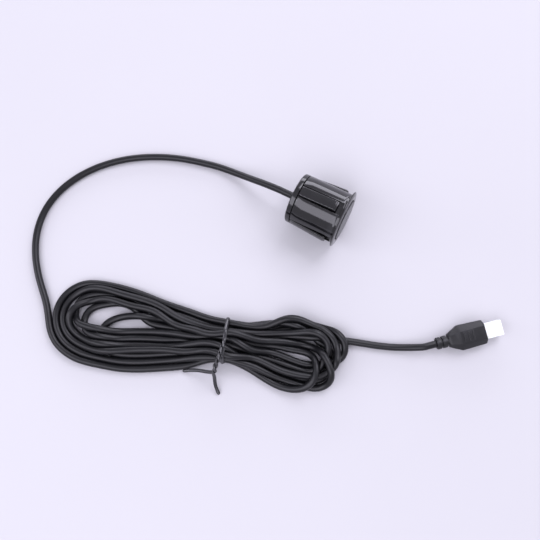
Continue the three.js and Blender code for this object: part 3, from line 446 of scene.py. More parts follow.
    (-65.62, -86.21, 2.42), (-64.49, -86.84, 1.94), (-63.24, -87.29, 1.61), (-61.89, -87.61, 1.47), (-60.53, -87.78, 1.58),
    (-59.18, -87.84, 1.91), (-57.88, -87.81, 2.39), (-56.6, -87.76, 2.92), (-55.32, -87.63, 3.44), (-54.02, -87.38, 3.86),
    (-52.7, -87.02, 4.1), (-51.39, -86.56, 4.13), (-50.12, -86.05, 3.92), (-48.89, -85.52, 3.52), (-47.7, -85, 3.02),
    (-46.52, -84.45, 2.51), (-45.34, -83.88, 2.08), (-44.13, -83.27, 1.75), (-42.91, -82.62, 1.53), (-41.69, -81.96, 1.42),
    (-40.46, -81.31, 1.39), (-39.23, -80.66, 1.39), (-37.99, -80.02, 1.39), (-36.73, -79.41, 1.39), (-35.48, -78.81, 1.39),
    (-34.21, -78.23, 1.39), (-32.93, -77.66, 1.39), (-31.66, -77.09, 1.39), (-30.4, -76.5, 1.41), (-29.14, -75.88, 1.48),
    (-27.91, -75.25, 1.6), (-26.69, -74.59, 1.8), (-25.5, -73.93, 2.07), (-24.33, -73.24, 2.42), (-23.19, -72.55, 2.84),
    (-22.08, -71.83, 3.29), (-20.98, -71.1, 3.74), (-19.88, -70.36, 4.16), (-18.77, -69.62, 4.59), (-17.65, -68.9, 5.02),
    (-16.52, -68.22, 5.46), (-15.34, -67.61, 5.9), (-14.12, -67.06, 6.3), (-12.85, -66.61, 6.66), (-11.53, -66.26, 6.94),
    (-10.16, -66.02, 7.09), (-8.78, -65.89, 7.07), (-7.4, -65.84, 6.85), (-6.08, -65.86, 6.4), (-4.84, -65.89, 5.76),
    (-3.68, -65.87, 4.98), (-2.55, -65.81, 4.16), (-1.39, -65.73, 3.39), (-0.18, -65.65, 2.71), (1.11, -65.55, 2.16),
    (2.44, -65.45, 1.78), (3.81, -65.34, 1.54), (5.2, -65.2, 1.42), (6.58, -65.02, 1.39), (7.96, -64.8, 1.39),
    (9.33, -64.54, 1.39), (10.7, -64.27, 1.39), (12.07, -64.01, 1.39), (13.45, -63.76, 1.39), (14.82, -63.52, 1.4),
    (16.2, -63.29, 1.4), (17.57, -63.08, 1.39), (18.95, -62.87, 1.39), (20.33, -62.66, 1.39), (21.71, -62.44, 1.39),
    (23.08, -62.21, 1.39), (24.46, -61.95, 1.39), (25.82, -61.65, 1.39), (27.16, -61.28, 1.39), (28.45, -60.78, 1.39),
    (29.67, -60.1, 1.39), (30.75, -59.23, 1.39), (31.63, -58.15, 1.39), (32.26, -56.92, 1.39), (32.67, -55.59, 1.39),
    (32.89, -54.22, 1.39), (32.95, -52.83, 1.39), (32.68, -51.46, 1.39), (31.95, -50.26, 1.39), (31.11, -49.16, 1.39),
    (30.13, -48.17, 1.39), (28.98, -47.41, 1.4), (27.69, -46.91, 1.4), (26.34, -46.63, 1.4), (24.96, -46.45, 1.39),
    (23.59, -46.24, 1.39), (22.24, -45.9, 1.39), (20.93, -45.46, 1.41), (19.62, -45.04, 1.64), (18.35, -44.77, 2.13),
    (17.11, -44.67, 2.75), (15.88, -44.7, 3.37), (14.58, -44.84, 3.87), (13.24, -45.07, 4.13), (11.88, -45.35, 4.12),
    (10.55, -45.66, 3.86), (9.29, -46.03, 3.4), (8.06, -46.44, 2.9), (6.84, -46.93, 2.42), (5.64, -47.49, 2.01),
    (4.44, -48.13, 1.7), (3.25, -48.83, 1.51), (2.08, -49.58, 1.41), (0.92, -50.35, 1.39), (-0.23, -51.14, 1.39),
    (-1.38, -51.93, 1.42), (-2.53, -52.71, 1.48), (-3.69, -53.49, 1.58), (-4.85, -54.25, 1.71), (-6.01, -55, 1.84),
    (-7.19, -55.74, 1.98), (-8.38, -56.46, 2.08), (-9.57, -57.18, 2.16), (-10.77, -57.9, 2.18), (-11.97, -58.6, 2.16),
    (-13.21, -59.23, 2.1), (-14.49, -59.78, 2), (-15.8, -60.25, 1.88), (-17.14, -60.63, 1.74), (-18.49, -60.93, 1.62),
    (-19.86, -61.18, 1.52), (-21.24, -61.37, 1.45), (-22.62, -61.55, 1.41), (-24.01, -61.72, 1.39), (-25.39, -61.89, 1.39),
    (-26.77, -62.07, 1.4), (-28.16, -62.27, 1.4), (-29.53, -62.49, 1.41), (-30.9, -62.75, 1.41), (-32.26, -63.06, 1.4),
    (-33.61, -63.41, 1.39), (-34.95, -63.78, 1.39), (-36.3, -64.16, 1.39), (-37.64, -64.51, 1.39), (-39, -64.82, 1.39),
    (-40.37, -65.08, 1.39), (-41.75, -65.28, 1.4), (-43.13, -65.41, 1.4), (-44.53, -65.48, 1.4), (-45.91, -65.51, 1.4),
    (-47.31, -65.51, 1.39), (-48.7, -65.53, 1.39), (-50.09, -65.6, 1.39), (-51.46, -65.78, 1.39), (-52.82, -66.07, 1.39),
    (-54.16, -66.43, 1.39), (-55.49, -66.85, 1.39), (-56.79, -67.3, 1.39), (-58.1, -67.78, 1.39), (-59.38, -68.28, 1.39),
    (-60.67, -68.81, 1.39), (-61.92, -69.37, 1.39), (-63.15, -70.01, 1.39), (-64.3, -70.76, 1.39), (-65.38, -71.63, 1.39),
    (-66.36, -72.59, 1.39), (-67.21, -73.68, 1.39), (-67.84, -74.88, 1.39), (-68.21, -76.21, 1.39), (-68.25, -77.57, 1.39),
    (-67.97, -78.91, 1.44), (-67.44, -80.15, 1.57), (-66.67, -81.26, 1.86), (-65.78, -82.15, 2.36), (-64.8, -82.85, 3.03),
    (-63.71, -83.29, 3.73), (-62.49, -83.48, 4.34), (-61.2, -83.46, 4.78), (-59.84, -83.27, 4.98), (-58.5, -82.97, 5),
    (-57.17, -82.61, 4.87), (-55.87, -82.21, 4.65), (-54.58, -81.79, 4.34), (-53.33, -81.36, 3.95), (-52.1, -80.92, 3.48),
    (-50.91, -80.45, 2.98), (-49.71, -79.93, 2.48), (-48.52, -79.37, 2.05), (-47.32, -78.76, 1.73), (-46.11, -78.12, 1.52),
    (-44.89, -77.45, 1.42), (-43.67, -76.79, 1.39), (-42.45, -76.12, 1.39), (-41.22, -75.48, 1.39), (-39.98, -74.84, 1.39),
    (-38.74, -74.22, 1.4), (-37.48, -73.63, 1.44), (-36.22, -73.06, 1.53), (-34.95, -72.51, 1.69), (-33.68, -71.98, 1.92),
    (-32.41, -71.47, 2.19), (-31.15, -70.96, 2.49), (-29.88, -70.47, 2.79), (-28.61, -70, 3.08), (-27.31, -69.55, 3.34),
    (-26.01, -69.12, 3.57), (-24.7, -68.67, 3.75), (-23.4, -68.22, 3.9), (-22.09, -67.74, 4), (-20.8, -67.23, 4.06),
    (-19.52, -66.68, 4.11), (-18.26, -66.09, 4.14), (-17, -65.48, 4.15), (-15.75, -64.88, 4.19), (-14.48, -64.3, 4.27),
    (-13.22, -63.74, 4.41), (-11.95, -63.2, 4.62), (-10.69, -62.7, 4.91), (-9.42, -62.25, 5.28), (-8.14, -61.9, 5.69),
    (-6.83, -61.65, 6.11), (-5.5, -61.54, 6.46), (-4.13, -61.55, 6.7), (-2.75, -61.63, 6.77), (-1.36, -61.72, 6.62),
    (-0.03, -61.76, 6.27), (1.25, -61.68, 5.73), (2.44, -61.45, 5.06), (3.56, -61.07, 4.33), (4.64, -60.6, 3.6),
    (5.73, -60.08, 2.92), (6.86, -59.58, 2.31), (8.07, -59.11, 1.83), (9.35, -58.71, 1.53), (10.69, -58.39, 1.41),
    (12.04, -58.15, 1.39), (13.41, -57.97, 1.39), (14.77, -57.83, 1.4), (16.14, -57.69, 1.41), (17.49, -57.54, 1.43),
    (18.86, -57.37, 1.44), (20.2, -57.17, 1.45), (21.56, -56.94, 1.44), (22.87, -56.61, 1.43), (24.15, -56.13, 1.41),
    (25.35, -55.53, 1.4), (26.55, -54.88, 1.39), (27.74, -54.27, 1.39), (28.95, -53.69, 1.59), (29.99, -53.14, 2.19),
    (30.81, -52.52, 3.09), (31.54, -51.72, 3.86), (32.52, -50.79, 3.98), (33.42, -49.85, 3.69), (34.08, -48.71, 3.41),
    (34.42, -47.45, 3.26), (34.44, -46.09, 3.27), (34.17, -44.82, 3.43), (33.59, -43.61, 3.7), (32.8, -42.59, 3.99),
    (31.77, -41.71, 4.21), (30.61, -41.04, 4.24), (29.34, -40.55, 4.07), (28.06, -40.27, 3.72), (26.78, -40.17, 3.23),
    (25.53, -40.24, 2.69), (24.26, -40.41, 2.17), (22.98, -40.63, 1.77), (21.64, -40.87, 1.51), (20.29, -41.11, 1.4),
    (18.93, -41.39, 1.39), (17.61, -41.75, 1.39), (16.31, -42.25, 1.39), (15.11, -42.92, 1.39), (14, -43.76, 1.39),
    (13.01, -44.72, 1.39), (12.07, -45.75, 1.39), (11.14, -46.77, 1.39), (10.14, -47.73, 1.39), (9.06, -48.59, 1.39),
    (7.91, -49.38, 1.39), (6.72, -50.1, 1.39), (5.52, -50.8, 1.39), (4.33, -51.5, 1.39), (3.13, -52.22, 1.39),
    (1.95, -52.95, 1.39), (0.79, -53.72, 1.39), (-0.36, -54.5, 1.39), (-1.5, -55.3, 1.43), (-2.64, -56.08, 1.53),
    (-3.8, -56.85, 1.67), (-4.96, -57.6, 1.83), (-6.14, -58.32, 2), (-7.33, -59.03, 2.13), (-8.53, -59.74, 2.22),
    (-9.72, -60.46, 2.25), (-10.93, -61.16, 2.23), (-12.16, -61.8, 2.14), (-13.43, -62.37, 2.01), (-14.73, -62.84, 1.87),
    (-16.06, -63.22, 1.73), (-17.42, -63.52, 1.6), (-18.79, -63.75, 1.5), (-20.17, -63.94, 1.44), (-21.55, -64.12, 1.4),
    (-22.93, -64.3, 1.39), (-24.32, -64.47, 1.39), (-25.7, -64.64, 1.39), (-27.09, -64.83, 1.39), (-28.46, -65.05, 1.39),
    (-29.83, -65.31, 1.39), (-31.19, -65.61, 1.39), (-32.54, -65.97, 1.43), (-33.87, -66.38, 1.56), (-35.16, -66.84, 1.81),
    (-36.41, -67.33, 2.18), (-37.63, -67.82, 2.66), (-38.83, -68.29, 3.2), (-40.04, -68.76, 3.68), (-41.3, -69.28, 4.01),
    (-42.58, -69.82, 4.1), (-43.84, -70.38, 3.95), (-45.07, -70.94, 3.58), (-46.25, -71.51, 3.12), (-47.41, -72.11, 2.62),
    (-48.55, -72.77, 2.18), (-49.68, -73.51, 1.82), (-50.77, -74.34, 1.58), (-51.8, -75.28, 1.44), (-52.72, -76.32, 1.39),
    (-53.48, -77.48, 1.39), (-54.04, -78.75, 1.39), (-54.35, -80.11, 1.39), (-54.4, -81.49, 1.39), (-54.15, -82.86, 1.39),
    (-53.63, -84.15, 1.39), (-52.85, -85.3, 1.39), (-51.87, -86.27, 1.39), (-50.69, -87.01, 1.39), (-49.39, -87.47, 1.39),
    (-48.01, -87.66, 1.39), (-46.63, -87.61, 1.39), (-45.26, -87.33, 1.4), (-43.94, -86.91, 1.4), (-42.63, -86.42, 1.41),
    (-41.35, -85.89, 1.41), (-40.08, -85.32, 1.41), (-38.83, -84.71, 1.4), (-37.58, -84.08, 1.4), (-36.36, -83.42, 1.39),
    (-35.14, -82.75, 1.39), (-33.93, -82.06, 1.39), (-32.72, -81.36, 1.39), (-31.52, -80.65, 1.39), (-30.32, -79.93, 1.39),
    (-29.13, -79.22, 1.39), (-27.93, -78.5, 1.39), (-26.73, -77.78, 1.39), (-25.53, -77.07, 1.39), (-24.33, -76.37, 1.39),
    (-23.11, -75.67, 1.39), (-21.9, -75, 1.39), (-20.67, -74.33, 1.39), (-19.44, -73.67, 1.39), (-18.21, -73.01, 1.4),
    (-16.98, -72.35, 1.42), (-15.76, -71.68, 1.47), (-14.54, -70.99, 1.56), (-13.34, -70.29, 1.69), (-12.15, -69.58, 1.85),
    (-10.96, -68.86, 2.01), (-9.76, -68.17, 2.15), (-8.56, -67.45, 2.23), (-7.4, -66.69, 2.22), (-6.29, -65.83, 2.13),
    (-5.29, -64.88, 1.96), (-4.38, -63.84, 1.76), (-3.55, -62.73, 1.58), (-2.77, -61.58, 1.45), (-2, -60.42, 1.39),
    (-1.19, -59.27, 1.39), (-0.29, -58.21, 1.39), (0.73, -57.24, 1.39), (1.82, -56.36, 1.39), (2.96, -55.56, 1.39),
    (4.14, -54.81, 1.4), (5.34, -54.09, 1.4), (6.55, -53.38, 1.4), (7.76, -52.67, 1.39), (8.96, -51.94, 1.39),
    (10.15, -51.19, 1.39), (11.34, -50.45, 1.44), (12.53, -49.72, 1.58), (13.75, -49.07, 1.82), (15.01, -48.54, 2.15),
    (16.27, -48.07, 2.57), (17.53, -47.62, 3.02), (18.78, -47.16, 3.47), (20.03, -46.65, 3.86), (21.29, -46.06, 4.09),
    (22.55, -45.45, 4.09), (23.8, -44.87, 3.79), (25.01, -44.37, 3.27), (26.21, -43.89, 2.72), (27.44, -43.36, 2.29),
    (28.69, -42.82, 1.94), (29.96, -42.28, 1.68), (31.25, -41.75, 1.49), (32.55, -41.24, 1.41), (33.87, -40.75, 1.39),
    (35.19, -40.29, 1.39), (36.52, -39.83, 1.39), (37.85, -39.39, 1.39), (39.19, -38.95, 1.39), (40.52, -38.51, 1.4),
    (41.86, -38.07, 1.41), (43.18, -37.62, 1.42), (44.51, -37.16, 1.43), (45.83, -36.68, 1.43), (47.14, -36.17, 1.44),
    (48.44, -35.65, 1.46), (49.73, -35.11, 1.5), (51.01, -34.54, 1.57), (52.28, -33.96, 1.68), (53.54, -33.36, 1.82),
    (54.79, -32.75, 2), (56.03, -32.13, 2.23), (57.26, -31.51, 2.49), (58.47, -30.88, 2.8), (59.67, -30.24, 3.14),
    (60.85, -29.58, 3.51), (61.92, -28.69, 3.58), (62.94, -27.73, 3.54), (63.99, -26.81, 3.55), (65.41, -25.54, 3.55),
]


def smooth_line(points, step):
    """Catmull-Rom through the points, resampled evenly."""
    p = np.array(points, float)
    e = np.vstack([2 * p[0] - p[1], p, 2 * p[-1] - p[-2]])
    out = []
    for i in range(1, len(e) - 2):
        a, b, c, d = e[i - 1], e[i], e[i + 1], e[i + 2]
        for t in (0.0, 0.25, 0.5, 0.75):
            out.append(0.5 * ((2 * b) + (c - a) * t + (2 * a - 5 * b + 4 * c - d) * t * t + (3 * b - a - 3 * c + d) * t ** 3))
    out.append(p[-1])
    out = np.array(out)
    s = np.concatenate([[0], np.cumsum(np.linalg.norm(np.diff(out, axis=0), axis=1))])
    n = int(round(s[-1] / step))
    t = np.linspace(0, s[-1], n + 1)
    return np.stack([np.interp(t, s, out[:, k]) for k in range(3)], 1), s[-1]


def tube(line, radius, sides):
    """Round tube with rounded ends, carried along by parallel transport, with length along U and turn round it along V."""
    t = np.gradient(line, axis=0)
    t /= np.linalg.norm(t, axis=1, keepdims=True)
    nrm = np.cross(t[0], (0, 0, 1.0))
    nrm /= np.linalg.norm(nrm)
    rings, us = [], []
    run = 0.0
    for i in range(len(line)):
        if i:
            run += np.linalg.norm(line[i] - line[i - 1])
            nrm = nrm - t[i] * nrm.dot(t[i])
            nrm /= np.linalg.norm(nrm)
        bi = np.cross(t[i], nrm)
        rows = [(0.0, 1.0)]
        if i == 0:
            rows = [(-0.35, 0.55), (-0.22, 0.85), (0.0, 1.0)]
        if i == len(line) - 1:
            rows = [(0.0, 1.0), (0.22, 0.85), (0.35, 0.55)]
        for along, share in rows:
            # the jacket is never perfectly even: a slow swell of under one per cent
            r = radius * share * (1 + 0.006 * math.sin(run * 0.21) + 0.004 * math.sin(run * 0.077 + 1.0))
            rings.append([tuple(line[i] + t[i] * along + r * (math.cos(a) * nrm + math.sin(a) * bi))
                          for a in (2 * math.pi * k / sides for k in range(sides))])
            us.append(run + along)
    verts, faces = skin(rings)
    uvs, n = [], sides
    body = (len(rings) - 1) * n
    for f_i, f in enumerate(faces):
        for k, v in enumerate(f):
            ring, side = min(v // n, len(rings) - 1), v % n
            if f_i < body and side == 0 and k in (1, 2):
                side = n
            uvs.append((us[ring] * MM, side / n * math.pi * 2 * radius * MM))
    return verts, faces, uvs


cord_line, CORD_LENGTH = smooth_line(CORD, 1.1)
cv, cf, cuv = tube(cord_line, R0, 20)
cord = build("lead", cv, cf, M["jacket"], uvs=cuv, sharp=80)
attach(cord, "probe")
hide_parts("cord_lead", "cord_hank", "cord_plug_lead")

# ------------------------------------------------------------------ barrel and bezel, one moulding with four windows
R_BODY, WIN, FLOOR = 10.35, 2.55, 9.1


def quarter():
    """Corner points of a quarter of the section, as (window section, round section) in (across, out) about a window's middle."""
    rf, pairs = 0.16, []
    h = math.sqrt((R_BODY - rf) ** 2 - (WIN + rf) ** 2)
    top = math.degrees(math.atan2(WIN + rf, h))
    for k in range(15):
        a = math.radians(-45 + (45 - top) * k / 15)
        p = (R_BODY * math.sin(a), R_BODY * math.cos(a))
        pairs.append((p, p))
    a0 = math.atan2(h, -(WIN + rf))
    inner = []
    for k in range(5):
        a = a0 * (1 - k / 4)
        inner.append((-(WIN + rf) + rf * math.cos(a), h + rf * math.sin(a)))
    inner += [(-WIN, h - 0.25), (-WIN, FLOOR + 0.12), (-WIN + 0.035, FLOOR + 0.035), (-WIN + 0.12, FLOOR)]
    m = len(inner)
    for k, p in enumerate(inner):
        a = math.radians(-top + 1.6 * k / m)
        pairs.append((p, (R_BODY * math.sin(a), R_BODY * math.cos(a))))
    flat = [(-1 + 2 * k / 10) * (WIN - 0.3) for k in range(11)]
    for s in flat:
        a = s / (WIN - 0.3) * math.radians(top - 1.8)
        pairs.append(((s, FLOOR), (R_BODY * math.sin(a), R_BODY * math.cos(a))))
    for p, q in reversed(pairs[15:15 + m]):
        pairs.append(((-p[0], p[1]), (-q[0], q[1])))
    for p, q in reversed(pairs[1:15]):
        pairs.append(((-p[0], p[1]), (-q[0], q[1])))
    return pairs


NOTCH, ROUND = [], []
for q in range(4):
    c, s = math.cos(q * math.pi / 2), math.sin(q * math.pi / 2)
    for p, r in quarter():
        NOTCH.append((p[0] * c + p[1] * s, -p[0] * s + p[1] * c))
        ROUND.append((r[0] * c + r[1] * s, -r[0] * s + r[1] * c))
NOTCH, ROUND = np.array(NOTCH), np.array(ROUND)
UNIT = ROUND / np.linalg.norm(ROUND, axis=1, keepdims=True)


def section(u, yz):
    return [(u, y, z) for y, z in yz]


def pulled(yz, by):
    """The outline with its outermost band drawn in, for a rounded rim."""
    r = np.linalg.norm(yz, axis=1, keepdims=True)
    return yz * np.where(r > R_BODY - by, (R_BODY - by) / r, 1.0)


rings = [section(-18.36, UNIT * 8.55), section(-18.4, UNIT * 8.6)]
rings += [section(-18.4, pulled(NOTCH, 0.16)), section(-18.36, pulled(NOTCH, 0.06)), section(-18.24, NOTCH)]
rings += [section(u, NOTCH) for u in (-15.0, -11.5, -8.0, -4.5, -1.6, -0.9)]
for u, t in ((-0.9, 0.80), (-0.88, 0.92), (-0.82, 0.98), (-0.72, 1.0)):
    rings.append(section(u, NOTCH * (1 - t) + ROUND * t))
for u, r in fillet([(-0.6, R_BODY, 0), (0.0, R_BODY, 0.12), (0.0, 11.72, 0.14), (0.34, 11.72, 0.3), (0.60, 11.30, 0.5), (0.86, 10.3, 1.0),
                    (0.88, 9.35, 0.6), (0.74, 8.55, 0.16), (-9.9, 8.55, 0), (-9.9, 7.5, 0), (-11.0, 7.5, 0), (-11.0, 8.55, 0)], 5, closed=False):
    rings.append(section(u, UNIT * r))
v, f = skin(rings, closed=True)
housing = build("barrel_housing_fine", v, f, M["shell"], PROBE, sharp=42)
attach(housing, "probe")
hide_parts("barrel_housing")

# ------------------------------------------------------------------ snap wings: crowned strips, flared, with a chamfered lip at the free end
def wing_mesh():
    u0, u1, half, thick = -18.4, -2.7, 2.0, 0.85
    slope = (11.45 - 10.33) / (u1 - u0)

    def ring(u, drop, out_drop, shrink):
        top = 10.33 + slope * (u - u0) - out_drop
        low = 10.33 + slope * (u - u0) - thick - 0.05 * (1 + (u - u0) / (u1 - u0))
        w, t, b = half - shrink, top - shrink * 0.8, low + shrink * 0.8 + drop
        pts = fillet([(-w, b, 0.15), (-w, t, 0.24), (w, t, 0.24), (w, b, 0.15)], 5)
        fine = []
        for i, (y, z) in enumerate(pts):
            fine.append((y, z))
            y2, z2 = pts[(i + 1) % len(pts)]
            if math.hypot(y2 - y, z2 - z) > 0.5:
                m = 8 if abs(y2 - y) > 1 else 2
                fine += [(y + (y2 - y) * k / m, z + (z2 - z) * k / m) for k in range(1, m)]
        return [(u, y, z - (y * y / (2 * 10.4)) * (1.0 if z > (t + b) / 2 else 0.8)) for y, z in fine]

    rows = [(u0 + 0.0, 0, 0.10, 0.16), (u0 + 0.05, 0, 0.04, 0.06), (u0 + 0.16, 0, 0, 0)]
    rows += [(u, 0, 0, 0) for u in (-17.0, -15.2, -13.4, -11.6, -9.8, -8.0, -6.2, -4.8)]
    rows += [(u1 - 1.15, 0, 0.0, 0), (u1 - 0.98, 0, 0.005, 0), (u1 - 0.86, 0, 0.04, 0), (u1 - 0.66, 0, 0.15, 0), (u1 - 0.46, 0, 0.25, 0),
             (u1 - 0.34, 0, 0.28, 0), (u1 - 0.18, 0, 0.29, 0), (u1 - 0.06, 0, 0.30, 0.06), (u1, 0, 0.30, 0.17)]
    return skin([ring(*r) for r in rows])


for side, angle in (("top", 0), ("left", -90), ("bottom", 180), ("right", 90)):
    v, f = wing_mesh()
    ob = build(f"snap_wing_{side}_fine", v, f, M["wing"], PROBE @ Matrix.Rotation(math.radians(angle), 4, "X"), sharp=50)
    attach(ob, f"wing_{side}")
    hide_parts(f"snap_wing_{side}")

# ------------------------------------------------------------------ turned pieces of the probe
def turned(name, shells, mat, node, sharp=40):
    v, f = joined(*shells)
    ob = build(name, v, f, mat, PROBE, sharp=sharp)
    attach(ob, "probe")
    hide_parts(node)
    return ob


turned("rear_cap_fine", [lathe([
    (-16.6, 7.3, 0.1), (-16.6, 8.3, 0.2), (-18.7, 8.3, 0), (-18.7, R_BODY - 0.02, 0.14), (-20.3, R_BODY - 0.03, 0.4), (-20.7, 10.02, 0.3),
    (-20.7, 2.85, 0.2), (-19.7, 2.85, 0), (-19.7, 7.3, 0)])], M["cap"], "rear_cap")
turned("transducer_can_fine", [lathe([
    (1.25, 0, 0), (1.245, 3.0, 0), (1.225, 5.5, 0), (1.19, 7.9, 0.28), (-8.6, 7.9, 0.15), (-8.6, 7.0, 0.15), (0.2, 7.0, 0.4), (0.2, 0, 0)],
    closed=False)], M["face"], "transducer_can")
turned("isolator_sleeve_fine", [lathe([
    (0.95, 8.05, 0.1), (0.95, 8.4, 0.1), (-9.6, 8.4, 0.1), (-9.6, 7.0, 0.1), (-8.9, 7.0, 0.1), (-8.9, 8.05, 0)])],
    M["silicone"], "isolator_sleeve")
turned("rear_grommet_fine", [lathe([
    (-18.8, 1.65, 0), (-18.8, 3.6, 0.15), (-19.4, 3.6, 0.15), (-19.4, 2.55, 0.1), (-21.0, 2.55, 0.1), (-21.0, 3.3, 0.14), (-21.55, 3.3, 0.35),
    (-22.3, 2.45, 0.3), (-22.3, 1.65, 0.12)])], M["grommet"], "rear_grommet")

# ------------------------------------------------------------------ plug: eight-sided grip with soft corners, ringed strain relief, grip ribs
def eight(x, hw, tw, ht, s, r=(0.45, 0.4)):
    pts = fillet([(hw, -s, r[0]), (hw, s, r[0]), (tw, ht, r[1]), (-tw, ht, r[1]), (-hw, s, r[0]), (-hw, -s, r[0]), (-tw, -ht, r[1]), (tw, -ht, r[1])], 5)
    return [(x, y, z) for y, z in pts]


neck, shoulder, front = (2.55, 1.5, 2.1, 0.8), (5.0, 2.5, 3.1, 1.0), (4.7, 2.6, 3.1, 1.0)


def mixed(a, b, t, less=0.0):
    w = [p * (1 - t) + q * t for p, q in zip(a, b)]
    return (w[0] - less, w[1] - less * 0.7, w[2] - less, w[3] - less * 0.2)


rings = [eight(0.0, *mixed(neck, neck, 0, 0.30)), eight(0.06, *mixed(neck, neck, 0, 0.12)), eight(0.22, *mixed(neck, shoulder, 0.02, 0.0))]
for x in (1.1, 2.2, 3.2, 4.0):
    rings.append(eight(x, *mixed(neck, shoulder, x / 4.8)))
for x, t, less in ((4.45, 0.935, 0.0), (4.75, 0.985, 0.02), (5.1, 1.0, 0.03)):
    rings.append(eight(x, *mixed(neck, shoulder, t, less)))
for x in (6.0, 7.6, 9.2, 10.8, 12.6, 14.1):
    rings.append(eight(x, *mixed(shoulder, front, (x - 4.8) / 9.9)))
rings += [eight(14.42, *mixed(front, front, 0, 0.03)), eight(14.6, *mixed(front, front, 0, 0.11)), eight(14.7, *mixed(front, front, 0, 0.28))]
pocket = (3.2, 2.8, 2.65, 2.25)
rings += [eight(14.7, 3.3, 2.9, 2.75, 2.35, (0.2, 0.2)), eight(14.62, *pocket, (0.15, 0.15)), eight(9.7, *pocket, (0.15, 0.15)),
          eight(9.7, 2.0, 1.7, 0.75, 0.45, (0.1, 0.1)), eight(2.2, 2.0, 1.7, 0.75, 0.45, (0.1, 0.1))]
grip = skin(rings)
relief_profile = [(-3.4, 0, 0), (-3.4, 1.45, 0.1), (-4.8, 1.45, 0.08), (-4.8, 2.05, 0.15)]
for x0, x1, r in ((-4.5, -3.1, 2.35), (-2.4, -0.8, 2.4)):
    relief_profile += [(x0, r, 0.18), (x1, r, 0.18), (x1 + 0.08, 1.78, 0.12), (x1 + 0.56, 1.78, 0.12)]
relief_profile = relief_profile[:-2] + [(-0.7, 1.78, 0.12), (-0.2, 1.8, 0.12), (0.1, 1.95, 0.1), (0.6, 1.95, 0), (0.6, 0, 0)]
relief = lathe(relief_profile, 72, closed=False, n=4)


def rib(x):
    rows = []
    for k in range(13):
        t = -1 + 2 * k / 12
        y, swell = 2.25 * t, math.sqrt(max(0.0, 1 - abs(t) ** 8)) * 0.94 + 0.06
        rows.append([(x + 0.36 * swell * math.cos(a), y, 3.02 + 0.36 * swell * math.sin(a)) for a in (2 * math.pi * i / 20 for i in range(20))])
    return skin(rows)


v, f = joined(grip, relief, rib(6.0), rib(7.8), rib(9.6))
overmould = build("plug_overmould_fine", v, f, M["overmould"], PLUG, sharp=48)
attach(overmould, "probe")
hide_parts("plug_overmould")

# ------------------------------------------------------------------ connector: nylon housing with key ridge and two square sockets
def slab(x0, x1, y0, y1, z0, z1, r, edge=0.18):
    rows = []
    for x, less in ((x0, edge), (x0 + edge * 0.3, edge * 0.3), (x0 + edge, 0), (x1 - edge, 0), (x1 - edge * 0.3, edge * 0.3), (x1, edge)):
        pts = fillet([(y1 - less, z0 + less, r), (y1 - less, z1 - less, r), (y0 + less, z1 - less, r), (y0 + less, z0 + less, r)], 5)
        rows.append([(x, y, z) for y, z in pts])
    return skin(rows)


def carve(ob, cutters):
    """Cuts each cutter out of ob with an exact boolean, and keeps the result as ob's mesh."""
    for k, c in enumerate(cutters):
        mod = ob.modifiers.new(f"cut{k}", "BOOLEAN")
        mod.operation, mod.solver, mod.object = "DIFFERENCE", "EXACT", c
    bpy.context.view_layer.update()
    me = bpy.data.meshes.new_from_object(ob.evaluated_get(bpy.context.evaluated_depsgraph_get()))
    ob.modifiers.clear()
    ob.data = me
    for c in cutters:
        bpy.data.objects.remove(c)
    me.shade_smooth()
    me.set_sharp_from_angle(angle=math.radians(38))


v, f = slab(10.0, 21.8, -3.0, 3.0, -2.45, 1.9, 0.32)
connector = build("connector_housing_fine", v, f, M["nylon"], PLUG)
cutters = []
for y in (1.0, -1.0):
    cv_, cf_ = slab(9.0, 24.0, y - 0.75, y + 0.75, -0.85, 0.85, 0.12)
    cutters.append(build(f"socket_cut_{'a' if y > 0 else 'b'}", cv_, cf_, M["nylon"], PLUG))
    # lead-in chamfer round the mouth of the socket
    mouth = [[(x, yy, zz) for yy, zz in fillet([(y + h, -h, 0.14), (y + h, h, 0.14), (y - h, h, 0.14), (y - h, -h, 0.14)], 5)]
             for x, h in ((21.5, 0.70), (22.0, 0.95))]
    mv, mf = skin(mouth)
    cutters.append(build(f"mouth_cut_{'a' if y > 0 else 'b'}", mv, mf, M["nylon"], PLUG))
carve(connector, cutters)
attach(connector, "probe")
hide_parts("connector_housing")
v, f = joined(slab(10.05, 20.6, -2.1, 2.1, 1.5, 2.45, 0.3), slab(16.9, 18.3, -1.2, 1.2, 2.2, 2.66, 0.12, 0.1))
ridge = build("connector_key_ridge", v, f, M["nylon"], PLUG)
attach(ridge, "probe")
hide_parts("connector_housing")

# ------------------------------------------------------------------ twist tie: one coated wire, tail, twist, loop drawn tight round the strands, twist, tail
def hull(points):
    pts = sorted(set(points))
    def half(seq):
        h = []
        for p in seq:
            while len(h) > 1 and (h[-1][0] - h[-2][0]) * (p[1] - h[-2][1]) - (h[-1][1] - h[-2][1]) * (p[0] - h[-2][0]) <= 0:
                h.pop()
            h.append(p)
        return h
    a, b = half(pts), half(pts[::-1])
    return a[:-1] + b[:-1]                      # anticlockwise


